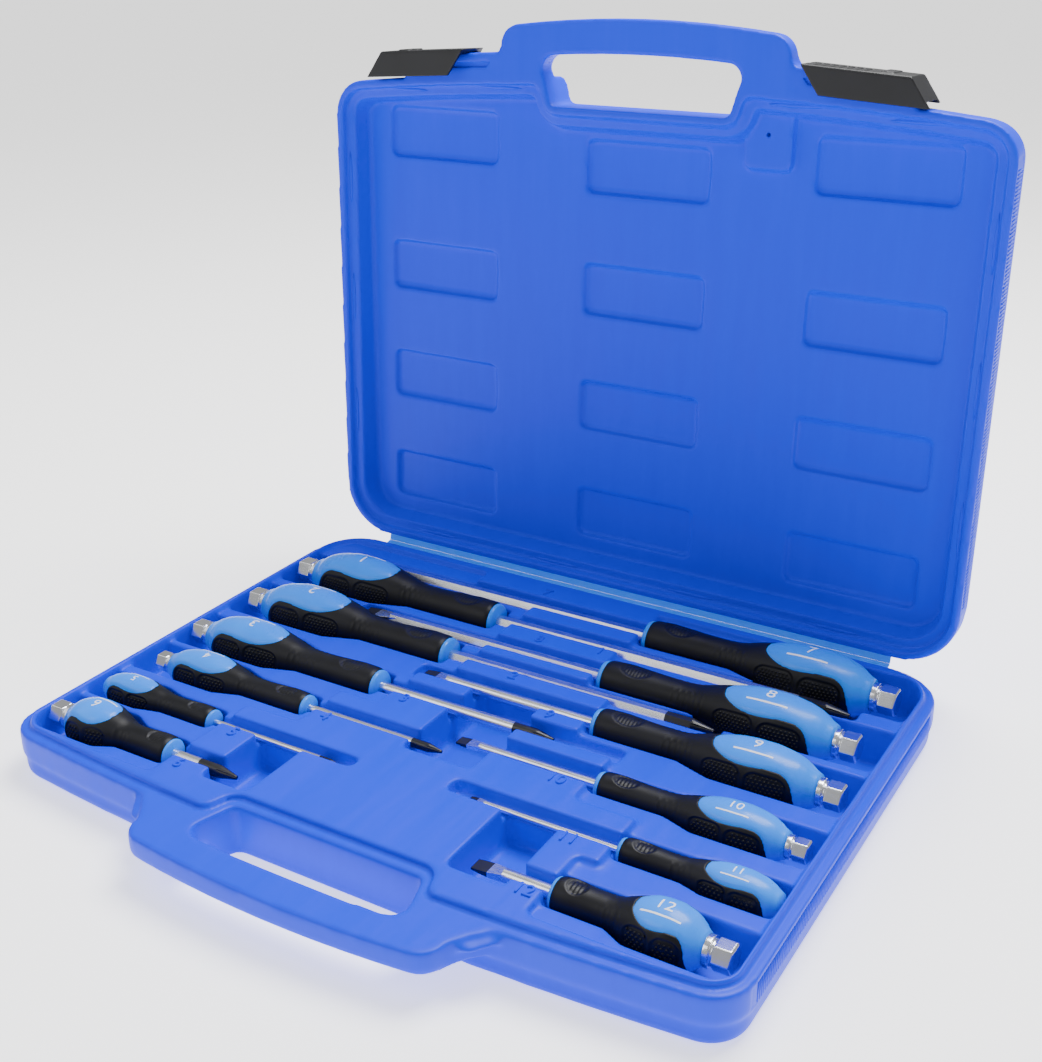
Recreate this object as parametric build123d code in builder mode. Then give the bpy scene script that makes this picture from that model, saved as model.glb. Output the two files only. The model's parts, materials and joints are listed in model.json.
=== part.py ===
from build123d import *
import os
from dataclasses import dataclass
from math import atan, cos, degrees, pi, radians, sin

# Blow-moulded screwdriver case with a film hinge, two sliding latches and twelve
# screwdrivers lying in their pockets. The lid stands open as it does in use.
# Frame: x to the right, y towards the hinge, z up, origin at the middle of the underside.
# Plan sketches use u across the case and v from the hinge-side edge towards the handle.

# Case, both halves
case_width = 380.0
case_depth = 279.0
front_bow = 10.8
back_corner_radius = 30.0
front_corner_radius = 19.0
base_height = 25.0
lid_height = 24.5
rim_band_height = 13.0
band_step = 1.2
bottom_edge_radius = 5.0

# Carrying handle, one half on each half of the case
handle_half_width = 80.5
handle_reach = 28.6
handle_bow = 5.6
handle_thickness = 12.0
handle_corner_radius = 11.0
handle_edge_radius = 3.5
handle_bar_width = 17.1
finger_hole_inner_half = 50.0
finger_hole_outer_half = 57.5
finger_hole_notch = 16.0
finger_hole_bow = 2.5
finger_hole_inner_radius = 4.0
finger_hole_outer_radius = 7.0

# Rims
shoulder_radius = 5.0
tongue_inset = 5.3
tongue_height = 3.0
lid_rim_inset = 4.5
lid_rim_depth = 4.3
lid_wall_inset = 9.0
lid_panel_depth = 16.0
lid_wall_slope = 3.6

# Recessed fields in the lid panel
field_width = 71.0
field_height = 28.0
field_depth = 3.0
field_corner_radius = 4.0
field_pitch = 127.0
field_side_rows = (36.0, 100.0, 166.0, 242.0)
field_middle_rows = (36.0, 100.0, 166.0, 232.0)

# Raised stop pad in the lid's panel beside the finger hole, with a small blind hole
pad_size = (25.0, 30.0)
pad_centre = (67.5, 253.0)
pad_height = 5.0
pad_hole_centre = (67.5, 255.5)
pad_hole_radius = 0.9

# Film hinge
hinge_gap = 3.3
web_thickness = 0.8
web_half_length = 158.0
web_slit = 0.15
lid_open_angle = 92.48

# Latches, which slide on the lid's front plate and grip a lug on the base
latch_slope = 0.062
latch_slant = 0.8
latch_start = 80.0
plate_reach = 9.9
plate_end = 52.0
plate_running_gap = 0.3
latch_length = 53.0
latch_wall = 2.0
latch_rest_left = 19.5
latch_rest_right = 7.4
lug_drop = 2.5
lug_thickness = 2.5
lug_length = 6.5
plate_root = 22.0
lug_root = 20.0
gusset = ((78.5, 296.0), (82.5, 288.3), (86.0, 282.5), (89.5, 279.0), (92.5, 275.5), (78.5, 274.0))
flange_drop = 5.3
wall_clearance = 0.75
far_lip_reach = 1.2
guide_rib_width = 1.4
guide_rib_start = 14.0
guide_rib_end = 46.0
guide_groove_depth = 1.5
guide_across = 8.2
guide_clearance = 0.7
guide_rib_reach = 1.2
far_lip_across = 11.2
latch_edge_radius = 1.2
grip_start = 4.5
grip_groove_count = 7
grip_groove_pitch = 4.1
grip_groove_width = 1.8
grip_groove_length = 14.0
grip_groove_depth = 0.8
thumb_stop_start = 38.0
thumb_stop_length = 6.0
thumb_stop_height = 0.7

# Tray
tool_axis_depth = 2.0
side_wall_inset = 7.5
back_wall_inset = 11.5
front_wall_inset = 15.0
first_row_room = 12.2
seat_clearance = 0.3
pocket_clearance = 1.5
pocket_corner_radius = 3.0
back_strip_end = -77.0

# Finger pockets: one in the middle and one beside each stubby driver
finger_pocket_depth = 17.0
middle_pocket = (-12.0, 26.0)
middle_pocket_v = (117.5, 190.0)
left_pocket = (-77.0, -50.0)
left_pocket_v = (212.0, 255.2)
right_pocket = (55.0, 83.0)
right_pocket_v = (205.0, 254.0)

# Screwdriver handles: at each share of the length, the radius as shares of neck and swell
handle_sides = 12
neck_flange = 1.15
waist_share = 0.42
belly_share = 0.58
handle_profile = (
    (0.0, 1.035, 0.0), (0.12, neck_flange, 0.0), (0.28, 1.0, 0.0), (waist_share, 1.03, 0.0),
    (belly_share, 0.30, 0.70), (0.70, 0.0, 0.99), (0.76, 0.0, 1.0), (0.88, 0.0, 0.90),
    (0.97, 0.0, 0.60), (1.0, 0.0, 0.45),
)
front_ring_share = 0.025
rear_core_share = 0.87
core_rod_share = 0.62
window_centre_share = 0.80
window_half_share = 0.23
window_width_share = 0.66
window_sides = 16
blade_seat_share = 0.5

# Steel cap on the butt: collar, groove and hexagon, as shares of the cap's length
collar_share = 0.23
groove_share = 0.33
groove_radius_share = 0.82
cap_chamfer = 0.8

# Blade tips
cross_cone_share = 3.2
cross_point_share = 0.32
flute_length_share = 4.0
arm_share = 0.17
flute_end_share = 0.72
flat_neck_share = 0.7
flat_thickness_share = 0.16
flat_waist_share = 1.08
flat_lengths = (0.6, 1.3, 2.2, 2.7)


@dataclass(frozen=True)
class HandleSize:
    """Sizes that screwdrivers of one handle size share."""

    length: float
    radius: float
    neck: float
    shank: float
    cap_length: float
    cap_radius: float
    hex_shank: bool = False


@dataclass(frozen=True)
class Tool:
    """One screwdriver: its side of the tray, blade, and the room left round it."""

    name: str
    side: int
    size: HandleSize
    blade: float
    tip_width: float
    row_gap: float
    end_gap: float
    front_room: float
    groove_half: float
    tip_room: float = 4.0


size_200 = HandleSize(124.0, 17.5, 9.5, 3.7, 13.0, 7.4, True)
size_150 = HandleSize(123.0, 17.0, 9.0, 3.5, 12.0, 7.2, True)
size_100 = HandleSize(112.0, 15.5, 8.2, 3.0, 12.0, 6.7)
size_75 = HandleSize(89.5, 12.3, 6.5, 2.3, 10.0, 5.4)
size_small = HandleSize(71.0, 10.0, 6.0, 1.5, 0.0, 0.0)
size_stubby = HandleSize(66.0, 14.0, 7.6, 3.0, 12.0, 6.6)

# Cross-tip drivers lie on the left and slotted drivers on the right, back to front
tools_left = (
    Tool("cross_4", -1, size_200, 200.0, 0.0, 24.6, 2.0, 11.5, 5.7),
    Tool("cross_3", -1, size_150, 150.0, 0.0, 11.2, 3.0, 13.5, 5.2),
    Tool("cross_2", -1, size_100, 100.0, 0.0, 12.3, 1.5, 11.5, 6.0, 36.0),
    Tool("cross_1", -1, size_75, 78.0, 0.0, 7.2, 8.0, 7.0, 4.2),
    Tool("cross_0", -1, size_small, 75.0, 0.0, 10.7, 4.5, 8.0, 3.6, 10.0),
    Tool("cross_2_stubby", -1, size_stubby, 38.0, 0.0, 7.7, 1.0, 4.5, 4.6),
)
tools_right = (
    Tool("slot_9", 1, size_200, 200.0, 9.5, 0.7, 9.5, 2.0, 5.9),
    Tool("slot_8", 1, size_150, 150.0, 8.0, 15.5, 12.0, 2.0, 6.0),
    Tool("slot_6", 1, size_100, 100.0, 6.5, 9.5, 4.5, 2.0, 6.0),
    Tool("slot_5", 1, size_75, 75.0, 5.5, 17.0, 3.7, 2.0, 7.0),
    Tool("slot_3", 1, size_small, 75.0, 3.5, 15.6, 1.5, 1.5, 4.6, 10.0),
    Tool("slot_6_stubby", 1, size_stubby, 38.0, 6.5, 14.5, 4.2, 1.5, 4.8, 5.0),
)

half_width = case_width / 2
half_depth = case_depth / 2
front_corner_v = case_depth - front_bow
handle_v = case_depth + handle_reach
handle_side_v = handle_v - handle_bow
hole_inner_v = case_depth - finger_hole_notch
hole_outer_v = handle_v - handle_bar_width - finger_hole_bow
tray_half = half_width - side_wall_inset
tray_back_v = back_wall_inset
tray_front_v = case_depth - front_wall_inset
hinge_y = half_depth + hinge_gap
guide_half = guide_rib_width / 2 + guide_clearance
bow_at_latch = front_bow * (latch_start / half_width) ** 2
flange_reach = latch_wall + plate_running_gap + plate_reach + bow_at_latch - wall_clearance

lid_sin = sin(radians(lid_open_angle))
lid_cos = cos(radians(lid_open_angle))

# Local z runs down into the base on its plane, and out of the lid's hollow on the lid's plane
base_rim = Plane(origin=(0, half_depth, base_height), x_dir=(1, 0, 0), z_dir=(0, 0, -1))
lid_rim = Plane(
    origin=(0, hinge_y - lid_cos * hinge_gap, base_height + lid_sin * hinge_gap),
    x_dir=(1, 0, 0),
    z_dir=(0, -lid_sin, -lid_cos),
)

os.makedirs("parts", exist_ok=True)


def write(part, name):
    """Label a finished piece and write it."""
    part.label = name
    export_step(part, f"parts/{name}.step")


def case_outline(inset=0.0):
    """Plan of the case body, with straight sides and a bowed front, drawn in by the inset."""
    with BuildSketch(mode=Mode.PRIVATE) as plan:
        with BuildLine():
            Polyline(
                (half_width, front_corner_v), (half_width, 0),
                (-half_width, 0), (-half_width, front_corner_v),
            )
            ThreePointArc((-half_width, front_corner_v), (0, case_depth), (half_width, front_corner_v))
        make_face()
        fillet(plan.vertices().group_by(Axis.Y)[0], back_corner_radius)
        fillet(plan.vertices().group_by(Axis.Y)[-1], front_corner_radius)
        if inset > 0:
            offset(amount=-inset)
    return plan.sketch


def hole_outline(margin=0.0):
    """Plan of the finger hole inside the carrying handle, grown by the margin."""
    with BuildSketch(mode=Mode.PRIVATE) as hole:
        with BuildLine():
            Polyline(
                (finger_hole_outer_half, hole_outer_v), (finger_hole_inner_half, hole_inner_v),
                (-finger_hole_inner_half, hole_inner_v), (-finger_hole_outer_half, hole_outer_v),
            )
            ThreePointArc(
                (-finger_hole_outer_half, hole_outer_v), (0, hole_outer_v + finger_hole_bow),
                (finger_hole_outer_half, hole_outer_v),
            )
        make_face()
        fillet(hole.vertices().group_by(Axis.Y)[0], finger_hole_inner_radius)
        fillet(hole.vertices().group_by(Axis.Y)[-1], finger_hole_outer_radius)
        if margin > 0:
            offset(amount=margin)
    return hole.sketch


def handle_outline():
    """Plan of the carrying handle, with its root inside the case body."""
    root_v = hole_inner_v - finger_hole_notch / 2
    with BuildSketch(mode=Mode.PRIVATE) as grip:
        with BuildLine():
            Polyline(
                (handle_half_width, handle_side_v), (handle_half_width, root_v),
                (-handle_half_width, root_v), (-handle_half_width, handle_side_v),
            )
            ThreePointArc((-handle_half_width, handle_side_v), (0, handle_v), (handle_half_width, handle_side_v))
        make_face()
        fillet(grip.vertices().group_by(Axis.Y)[-1], handle_corner_radius)
    return grip.sketch


def hollow_outline(inset):
    """Plan of a rim or hollow: the case outline drawn in, less the wall round the finger hole."""
    with BuildSketch(mode=Mode.PRIVATE) as hollow:
        add(case_outline(inset))
        add(hole_outline(inset), mode=Mode.SUBTRACT)
        reach = finger_hole_outer_half + 4 * inset
        shoulders = hollow.vertices().filter_by(lambda p: abs(p.X) < reach and p.Y > hole_inner_v)
        fillet(shoulders, shoulder_radius)
    return hollow.sketch


def slide_point(mirror, along, across):
    """Plan point on a latch: distances out from the latch end of the slide and in from its outer face."""
    angle = atan(latch_slope)
    outer_v = case_depth + plate_reach + plate_running_gap + latch_wall
    u = latch_start + along * cos(angle) - across * sin(angle)
    v = outer_v - along * sin(angle) - across * cos(angle)
    return (mirror * u, v)


def slide_band(mirror, start, end, across_from, across_to):
    """Plan of a strip along the slide, with both ends slanted as the latch's are."""
    with BuildSketch(mode=Mode.PRIVATE) as band:
        with BuildLine():
            Polyline(
                slide_point(mirror, start + latch_slant * across_from, across_from),
                slide_point(mirror, end + latch_slant * across_from, across_from),
                slide_point(mirror, end + latch_slant * across_to, across_to),
                slide_point(mirror, start + latch_slant * across_to, across_to),
                close=True,
            )
        make_face()
    return band.sketch


def half_case(rim, outward, height):
    """Outer form of one half of the case, with its half of the carrying handle and the finger hole."""
    with BuildPart(mode=Mode.PRIVATE) as half:
        with BuildSketch(rim):
            add(handle_outline())
        extrude(amount=outward * handle_thickness)
        outer_face = half.faces().sort_by(Axis(rim.origin, rim.z_dir * outward))[-1]
        fillet(outer_face.edges(), handle_edge_radius)
        with BuildSketch(rim):
            add(case_outline())
        extrude(amount=outward * rim_band_height)
        with BuildSketch(rim.offset(outward * rim_band_height)):
            add(case_outline(band_step))
        extrude(amount=outward * (height - rim_band_height))
        outer_face = half.faces().sort_by(Axis(rim.origin, rim.z_dir * outward))[-1]
        fillet(outer_face.edges(), bottom_edge_radius)
        with BuildSketch(rim):
            add(hole_outline())
        extrude(amount=outward * height, mode=Mode.SUBTRACT)
    return half.part


def place_tools(tools):
    """Work out each tool's place: its row in v and the u of its handle's front end."""
    placed = []
    edge_v = tray_back_v
    for tool in tools:
        row_v = edge_v + tool.row_gap + tool.size.radius
        edge_v = row_v + tool.size.radius
        butt = tray_half - tool.end_gap - tool.size.cap_length
        placed.append((tool, row_v, tool.side * (butt - tool.size.length)))
    return placed


left_placed = place_tools(tools_left)
right_placed = place_tools(tools_right)
placed_tools = left_placed + right_placed


def box_outline(u_from, u_to, v_from, v_to):
    """Rectangle in plan between two u and two v values."""
    with BuildSketch(mode=Mode.PRIVATE) as box:
        with Locations(((u_from + u_to) / 2, (v_from + v_to) / 2)):
            Rectangle(abs(u_to - u_from), abs(v_to - v_from))
    return box.sketch


def groove_outline(tool, row_v, front_u):
    """Plan of the groove that a tool's blade lies in, from its handle to past its tip."""
    tip_u = front_u - tool.side * (tool.blade + tool.tip_room)
    return box_outline(front_u, tip_u, row_v - tool.groove_half, row_v + tool.groove_half)


def pocket_outline(tool, row_v, front_u):
    """Plan of the deep pocket round a tool's handle: narrow at the neck and wide at the butt."""
    narrow = neck_flange * tool.size.neck + pocket_clearance
    wide = tool.size.radius + pocket_clearance
    start_u = front_u - tool.side * pocket_clearance
    waist_u = front_u + tool.side * waist_share * tool.size.length
    belly_u = front_u + tool.side * belly_share * tool.size.length
    wall_u = tool.side * tray_half
    with BuildSketch(mode=Mode.PRIVATE) as pocket:
        with BuildLine():
            Polyline(
                (start_u, row_v - narrow), (waist_u, row_v - narrow), (belly_u, row_v - wide),
                (wall_u, row_v - wide), (wall_u, row_v + wide), (belly_u, row_v + wide),
                (waist_u, row_v + narrow), (start_u, row_v + narrow), close=True,
            )
        make_face()
    return pocket.sketch


def row_outline(index, placed):
    """Plan of the lowered field round one handle, half way to the handles beside it."""
    tool, row_v, front_u = placed[index]
    before = tool.row_gap / 2 if index else min(tool.row_gap, first_row_room)
    after = placed[index + 1][0].row_gap / 2 if index + 1 < len(placed) else tray_front_v
    v_from = row_v - tool.size.radius - before
    v_to = min(row_v + tool.size.radius + after, tray_front_v)
    end_u = front_u - tool.side * tool.front_room
    return box_outline(tool.side * tray_half, end_u, v_from, v_to)


with BuildSketch() as finger_pockets:
    add(box_outline(*middle_pocket, *middle_pocket_v))
    add(box_outline(*left_pocket, *left_pocket_v))
    add(box_outline(*right_pocket, *right_pocket_v))

with BuildSketch() as tray_field:
    for placed in (left_placed, right_placed):
        for index in range(len(placed)):
            add(row_outline(index, placed))
    add(box_outline(-tray_half, back_strip_end, tray_back_v, left_placed[0][1]))
    for tool, row_v, front_u in placed_tools:
        add(groove_outline(tool, row_v, front_u))
    add(finger_pockets.sketch)


# Column over the whole lowered field, with its upright corners rounded
tray_top = base_rim.offset(-tongue_height)
with BuildPart() as tray_column:
    with BuildSketch(tray_top):
        add(tray_field.sketch)
    extrude(amount=base_height)
    fillet(tray_column.edges().filter_by(Axis.Z), pocket_corner_radius)
    with BuildSketch(tray_top):
        add(hollow_outline(side_wall_inset))
    extrude(amount=base_height, mode=Mode.INTERSECT)

# Everything that is sunk into the tray: the lowered field, grooves, handle pockets, finger pockets
with BuildPart() as tray_form:
    with BuildSketch(tray_top):
        add(tray_field.sketch)
    extrude(amount=tongue_height)
    for tool, row_v, front_u in placed_tools:
        with BuildSketch(tray_top):
            add(groove_outline(tool, row_v, front_u))
        extrude(amount=tongue_height + tool_axis_depth + tool.size.shank + seat_clearance)
        with BuildSketch(tray_top):
            add(pocket_outline(tool, row_v, front_u))
        extrude(amount=tongue_height + tool_axis_depth + tool.size.radius + seat_clearance)
    with BuildSketch(tray_top):
        add(finger_pockets.sketch)
    extrude(amount=tongue_height + finger_pocket_depth)
    add(tray_column.part, mode=Mode.INTERSECT)

# Base: outer form, raised tongue and tray top, lugs for the latches, then the tray's pockets
with BuildPart() as base:
    add(half_case(base_rim, 1, base_height))
    with BuildSketch(base_rim):
        add(hollow_outline(tongue_inset))
    extrude(amount=-tongue_height)
    for mirror in (-1, 1):
        with BuildSketch(base_rim):
            with BuildLine():
                Polyline(*[(mirror * u, v) for u, v in gusset], close=True)
            make_face()
        extrude(amount=handle_thickness)
        with BuildSketch(base_rim.offset(lug_drop)):
            add(slide_band(mirror, -latch_wall, lug_length, latch_wall + plate_running_gap, lug_root))
        extrude(amount=lug_thickness)
    add(tray_form.part, mode=Mode.SUBTRACT)
write(base.part, "base_shell")

# Lid: outer form, latch plates, then the hollow with its ledge, sloped wall and recessed panel
with BuildPart() as lid:
    add(half_case(lid_rim, -1, lid_height))
    for mirror in (-1, 1):
        with BuildSketch(lid_rim):
            add(slide_band(mirror, -latch_wall, plate_end, latch_wall + plate_running_gap, plate_root))
        extrude(amount=-handle_thickness)
        with BuildSketch(lid_rim):
            add(slide_band(
                mirror, latch_wall, plate_end + latch_wall,
                guide_across - guide_half, guide_across + guide_half,
            ))
        extrude(amount=-guide_groove_depth, mode=Mode.SUBTRACT)
        with BuildSketch(lid_rim.offset(-handle_thickness)):
            add(slide_band(
                mirror, latch_wall, plate_end + latch_wall,
                far_lip_across - guide_half, far_lip_across + guide_half,
            ))
        extrude(amount=guide_groove_depth, mode=Mode.SUBTRACT)
    with BuildSketch(lid_rim):
        add(hollow_outline(lid_rim_inset))
    extrude(amount=-lid_rim_depth, mode=Mode.SUBTRACT)
    with BuildSketch(lid_rim):
        add(hollow_outline(lid_wall_inset))
    wall_lean = degrees(atan(lid_wall_slope / lid_panel_depth))
    extrude(amount=-lid_panel_depth, taper=wall_lean, mode=Mode.SUBTRACT)
    for column, rows in ((-1, field_side_rows), (0, field_middle_rows), (1, field_side_rows)):
        with BuildSketch(lid_rim.offset(-lid_panel_depth)):
            with Locations(*[(column * field_pitch, row) for row in rows]):
                RectangleRounded(field_width, field_height, field_corner_radius)
        extrude(amount=-field_depth, mode=Mode.SUBTRACT)
    with BuildSketch(lid_rim.offset(-lid_panel_depth)):
        with Locations(pad_centre):
            RectangleRounded(*pad_size, field_corner_radius)
        with Locations(pad_hole_centre):
            Circle(pad_hole_radius, mode=Mode.SUBTRACT)
    extrude(amount=pad_height)
write(lid.part, "lid_shell")

# Film hinge: a thin strip on each half, meeting at the fold line
with BuildPart() as hinge_web_base:
    with BuildSketch(base_rim):
        add(box_outline(-web_half_length, web_half_length, -hinge_gap + web_slit, 0))
    extrude(amount=web_thickness)
write(hinge_web_base.part, "hinge_web_base")

with BuildPart() as hinge_web_lid:
    with BuildSketch(lid_rim):
        add(box_outline(-web_half_length, web_half_length, -hinge_gap + web_slit, 0))
    extrude(amount=-web_thickness)
write(hinge_web_lid.part, "hinge_web_lid")


def latch_bar(mirror, along, across, levels):
    """Bar of a latch: a strip along the slide, between two levels of the lid's rim plane."""
    with BuildPart(mode=Mode.PRIVATE) as bar:
        with BuildSketch(lid_rim.offset(levels[0])):
            add(slide_band(mirror, *along, *across))
        extrude(amount=levels[1] - levels[0])
    return bar.part


def build_latch(mirror, inner_end):
    """Latch: a channel round the lid's plate, with a guide rib, a far lip and a grooved grip."""
    outer_end = inner_end + latch_length
    whole = (inner_end, outer_end)
    far_inside = -handle_thickness - plate_running_gap
    near = (flange_drop, flange_drop + latch_wall)
    far = (far_inside - latch_wall, far_inside)
    rib = (guide_across - guide_rib_width / 2, guide_across + guide_rib_width / 2)
    lip = (far_lip_across - guide_rib_width / 2, far_lip_across + guide_rib_width / 2)
    rib_along = (inner_end + guide_rib_start, inner_end + guide_rib_end)
    middle = (near[1] + far[0]) / 2
    grip_levels = (middle - grip_groove_length / 2, middle + grip_groove_length / 2)
    outwards = Axis(lid_rim.origin, lid_rim.y_dir)
    with BuildPart() as latch:
        add(latch_bar(mirror, whole, (0, latch_wall), (far[0], near[1])))
        add(latch_bar(mirror, whole, (0, flange_reach), near))
        add(latch_bar(mirror, whole, (0, lip[1]), far))
        add(latch_bar(mirror, (outer_end - latch_wall, outer_end), (0, lip[0]), (far[0], near[1])))
        long_edges = latch.edges().filter_by(lambda edge: edge.length > latch_length / 2)
        fillet(long_edges.sort_by(outwards)[-2:], latch_edge_radius)
        add(latch_bar(mirror, rib_along, rib, (-guide_rib_reach, near[0])))
        add(latch_bar(mirror, whole, lip, (far[1], far[1] + far_lip_reach)))
        for index in range(grip_groove_count):
            start = inner_end + grip_start + index * grip_groove_pitch
            groove = latch_bar(
                mirror, (start, start + grip_groove_width), (-latch_wall, grip_groove_depth), grip_levels,
            )
            add(groove, mode=Mode.SUBTRACT)
        stop_start = inner_end + thumb_stop_start
        stop_along = (stop_start, stop_start + thumb_stop_length)
        add(latch_bar(mirror, stop_along, (-thumb_stop_height, latch_wall), grip_levels))
    return latch.part


write(build_latch(-1, latch_rest_left), "latch_left")
write(build_latch(1, latch_rest_right), "latch_right")


def tool_plane(tool, row_v, front_u):
    """Plane across a tool's axis at its handle's front end: z towards the butt, local y up."""
    origin = (front_u, half_depth - row_v, base_height - tool_axis_depth)
    return Plane(origin=origin, x_dir=(0, tool.side, 0), z_dir=(tool.side, 0, 0))


def build_handle(size):
    """Whole outer form of a handle, from its front end to its butt."""
    with BuildPart(mode=Mode.PRIVATE) as handle:
        for share, of_neck, of_swell in handle_profile:
            with BuildSketch(Plane.XY.offset(share * size.length)):
                RegularPolygon(of_neck * size.neck + of_swell * size.radius, handle_sides)
        loft(ruled=True)
    return handle.part


def shank_outline(size):
    """Section of a blade's shank: a hexagon on the two large sizes, else round."""
    with BuildSketch(mode=Mode.PRIVATE) as section:
        if size.hex_shank:
            RegularPolygon(size.shank, 6)
        else:
            Circle(size.shank)
    return section.sketch


def window_outline(size):
    """Oval window on the top of a handle, about the window's middle."""
    turns = [2 * pi * index / window_sides for index in range(window_sides)]
    half_length = window_half_share * size.length
    half_breadth = window_width_share * size.radius
    with BuildSketch(mode=Mode.PRIVATE) as window:
        with BuildLine():
            Polyline(*[(half_breadth * sin(turn), half_length * cos(turn)) for turn in turns], close=True)
        make_face()
    return window.sketch


def build_core(size, handle):
    """Hard core of a handle: its rod, both end rings and the oval window on top, bored for the blade."""
    window_middle = Plane(origin=(0, 0, window_centre_share * size.length), x_dir=(1, 0, 0), z_dir=(0, 1, 0))
    with BuildPart(mode=Mode.PRIVATE) as core:
        with BuildSketch():
            RegularPolygon(core_rod_share * size.neck, 6)
        extrude(amount=size.length)
        with BuildSketch():
            Circle(2 * size.radius)
        extrude(amount=front_ring_share * size.length)
        with BuildSketch(Plane.XY.offset(rear_core_share * size.length)):
            Circle(2 * size.radius)
        extrude(amount=(1 - rear_core_share) * size.length)
        with BuildSketch(window_middle):
            add(window_outline(size))
        extrude(amount=2 * size.radius)
        add(handle, mode=Mode.INTERSECT)
        with BuildSketch():
            add(shank_outline(size))
        extrude(amount=blade_seat_share * size.length, mode=Mode.SUBTRACT)
    return core.part


def build_grip(size, handle, core):
    """Soft grip moulded over the core: the rest of the handle, bored for the blade."""
    with BuildPart(mode=Mode.PRIVATE) as grip:
        add(handle)
        add(core, mode=Mode.SUBTRACT)
        with BuildSketch():
            add(shank_outline(size))
        extrude(amount=blade_seat_share * size.length, mode=Mode.SUBTRACT)
    return grip.part


def build_cap(size):
    """Steel cap on a handle's butt: a collar, a groove and a chamfered hexagon for a spanner."""
    butt = Plane.XY.offset(size.length)
    with BuildPart(mode=Mode.PRIVATE) as cap:
        with BuildSketch(butt):
            Circle(size.cap_radius)
        extrude(amount=collar_share * size.cap_length)
        with BuildSketch(butt):
            Circle(groove_radius_share * size.cap_radius)
        extrude(amount=groove_share * size.cap_length)
        with BuildSketch(butt.offset(groove_share * size.cap_length)):
            RegularPolygon(size.cap_radius, 6)
        extrude(amount=(1 - groove_share) * size.cap_length)
        chamfer(cap.faces().sort_by(Axis.Z)[-1].edges(), cap_chamfer)
    return cap.part


def build_cross_blade(tool):
    """Blade with a cross tip: a shank that ends in a cone with four flutes."""
    shank = tool.size.shank
    tip = Plane.XY.offset(-tool.blade)
    cone_start = tip.offset(cross_cone_share * shank)
    flute_start = tip.offset(flute_length_share * shank)
    reach = 2 * shank
    with BuildPart(mode=Mode.PRIVATE) as blade:
        with BuildSketch(cone_start):
            Circle(shank)
        with BuildSketch(tip):
            Circle(cross_point_share * shank)
        loft()
        with BuildSketch(cone_start):
            add(shank_outline(tool.size))
        extrude(amount=tool.blade - cross_cone_share * shank + blade_seat_share * tool.size.length)
        for x_sign, y_sign in ((1, 1), (-1, 1), (-1, -1), (1, -1)):
            for plane, corner in ((tip, arm_share * shank), (flute_start, flute_end_share * shank)):
                middle = (corner + reach) / 2
                with BuildSketch(plane):
                    with Locations((x_sign * middle, y_sign * middle)):
                        Rectangle(reach - corner, reach - corner)
            loft(ruled=True, mode=Mode.SUBTRACT)
    return blade.part


def build_flat_blade(tool):
    """Blade with a slotted tip: the shank's end forged flat, flared and tapered to its edge."""
    shank = tool.size.shank
    width = tool.tip_width
    edge, flare, rod_end, root = [share * width for share in flat_lengths]
    neck = flat_neck_share * shank
    half = width / 2
    waist = flat_waist_share * half
    thin = flat_thickness_share * half
    across = Plane(origin=(0, 0, -tool.blade), x_dir=(0, 0, 1), z_dir=(0, 1, 0))
    upright = Plane(origin=(0, 0, -tool.blade), x_dir=(0, 0, 1), z_dir=(1, 0, 0))
    with BuildPart(mode=Mode.PRIVATE) as blade:
        with BuildSketch(across):
            with BuildLine():
                Polyline(
                    (0, half), (edge, waist), (flare, waist), (root, neck),
                    (root, -neck), (flare, -waist), (edge, -waist), (0, -half), close=True,
                )
            make_face()
        extrude(amount=shank, both=True)
        with BuildSketch(upright):
            with BuildLine():
                Polyline((0, thin), (root, neck), (root, -neck), (0, -thin), close=True)
            make_face()
        extrude(amount=width, both=True, mode=Mode.INTERSECT)
        with BuildSketch(Plane.XY.offset(rod_end - tool.blade)):
            add(shank_outline(tool.size))
        extrude(amount=tool.blade - rod_end + blade_seat_share * tool.size.length)
    return blade.part


# Each handle size is built once, then placed for every screwdriver that has it
handle_forms = {}
for size in (size_200, size_150, size_100, size_75, size_small, size_stubby):
    handle = build_handle(size)
    core = build_core(size, handle)
    handle_forms[size] = (core, build_grip(size, handle, core))

for tool, row_v, front_u in placed_tools:
    place = tool_plane(tool, row_v, front_u).location
    core, grip = handle_forms[tool.size]
    blade = build_flat_blade(tool) if tool.tip_width else build_cross_blade(tool)
    write(blade.moved(place), f"{tool.name}_blade")
    write(core.moved(place), f"{tool.name}_core")
    write(grip.moved(place), f"{tool.name}_grip")
    if tool.size.cap_length:
        write(build_cap(tool.size).moved(place), f"{tool.name}_cap")
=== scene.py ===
"""Blow-moulded screwdriver case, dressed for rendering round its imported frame."""

import json
import logging
import math
from dataclasses import dataclass, field
from enum import Enum
from functools import lru_cache
from typing import Callable, Iterable, Optional, Sequence

import bmesh
import bpy
import numpy as np
from mathutils import Matrix, Vector
from mathutils.bvhtree import BVHTree

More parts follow.
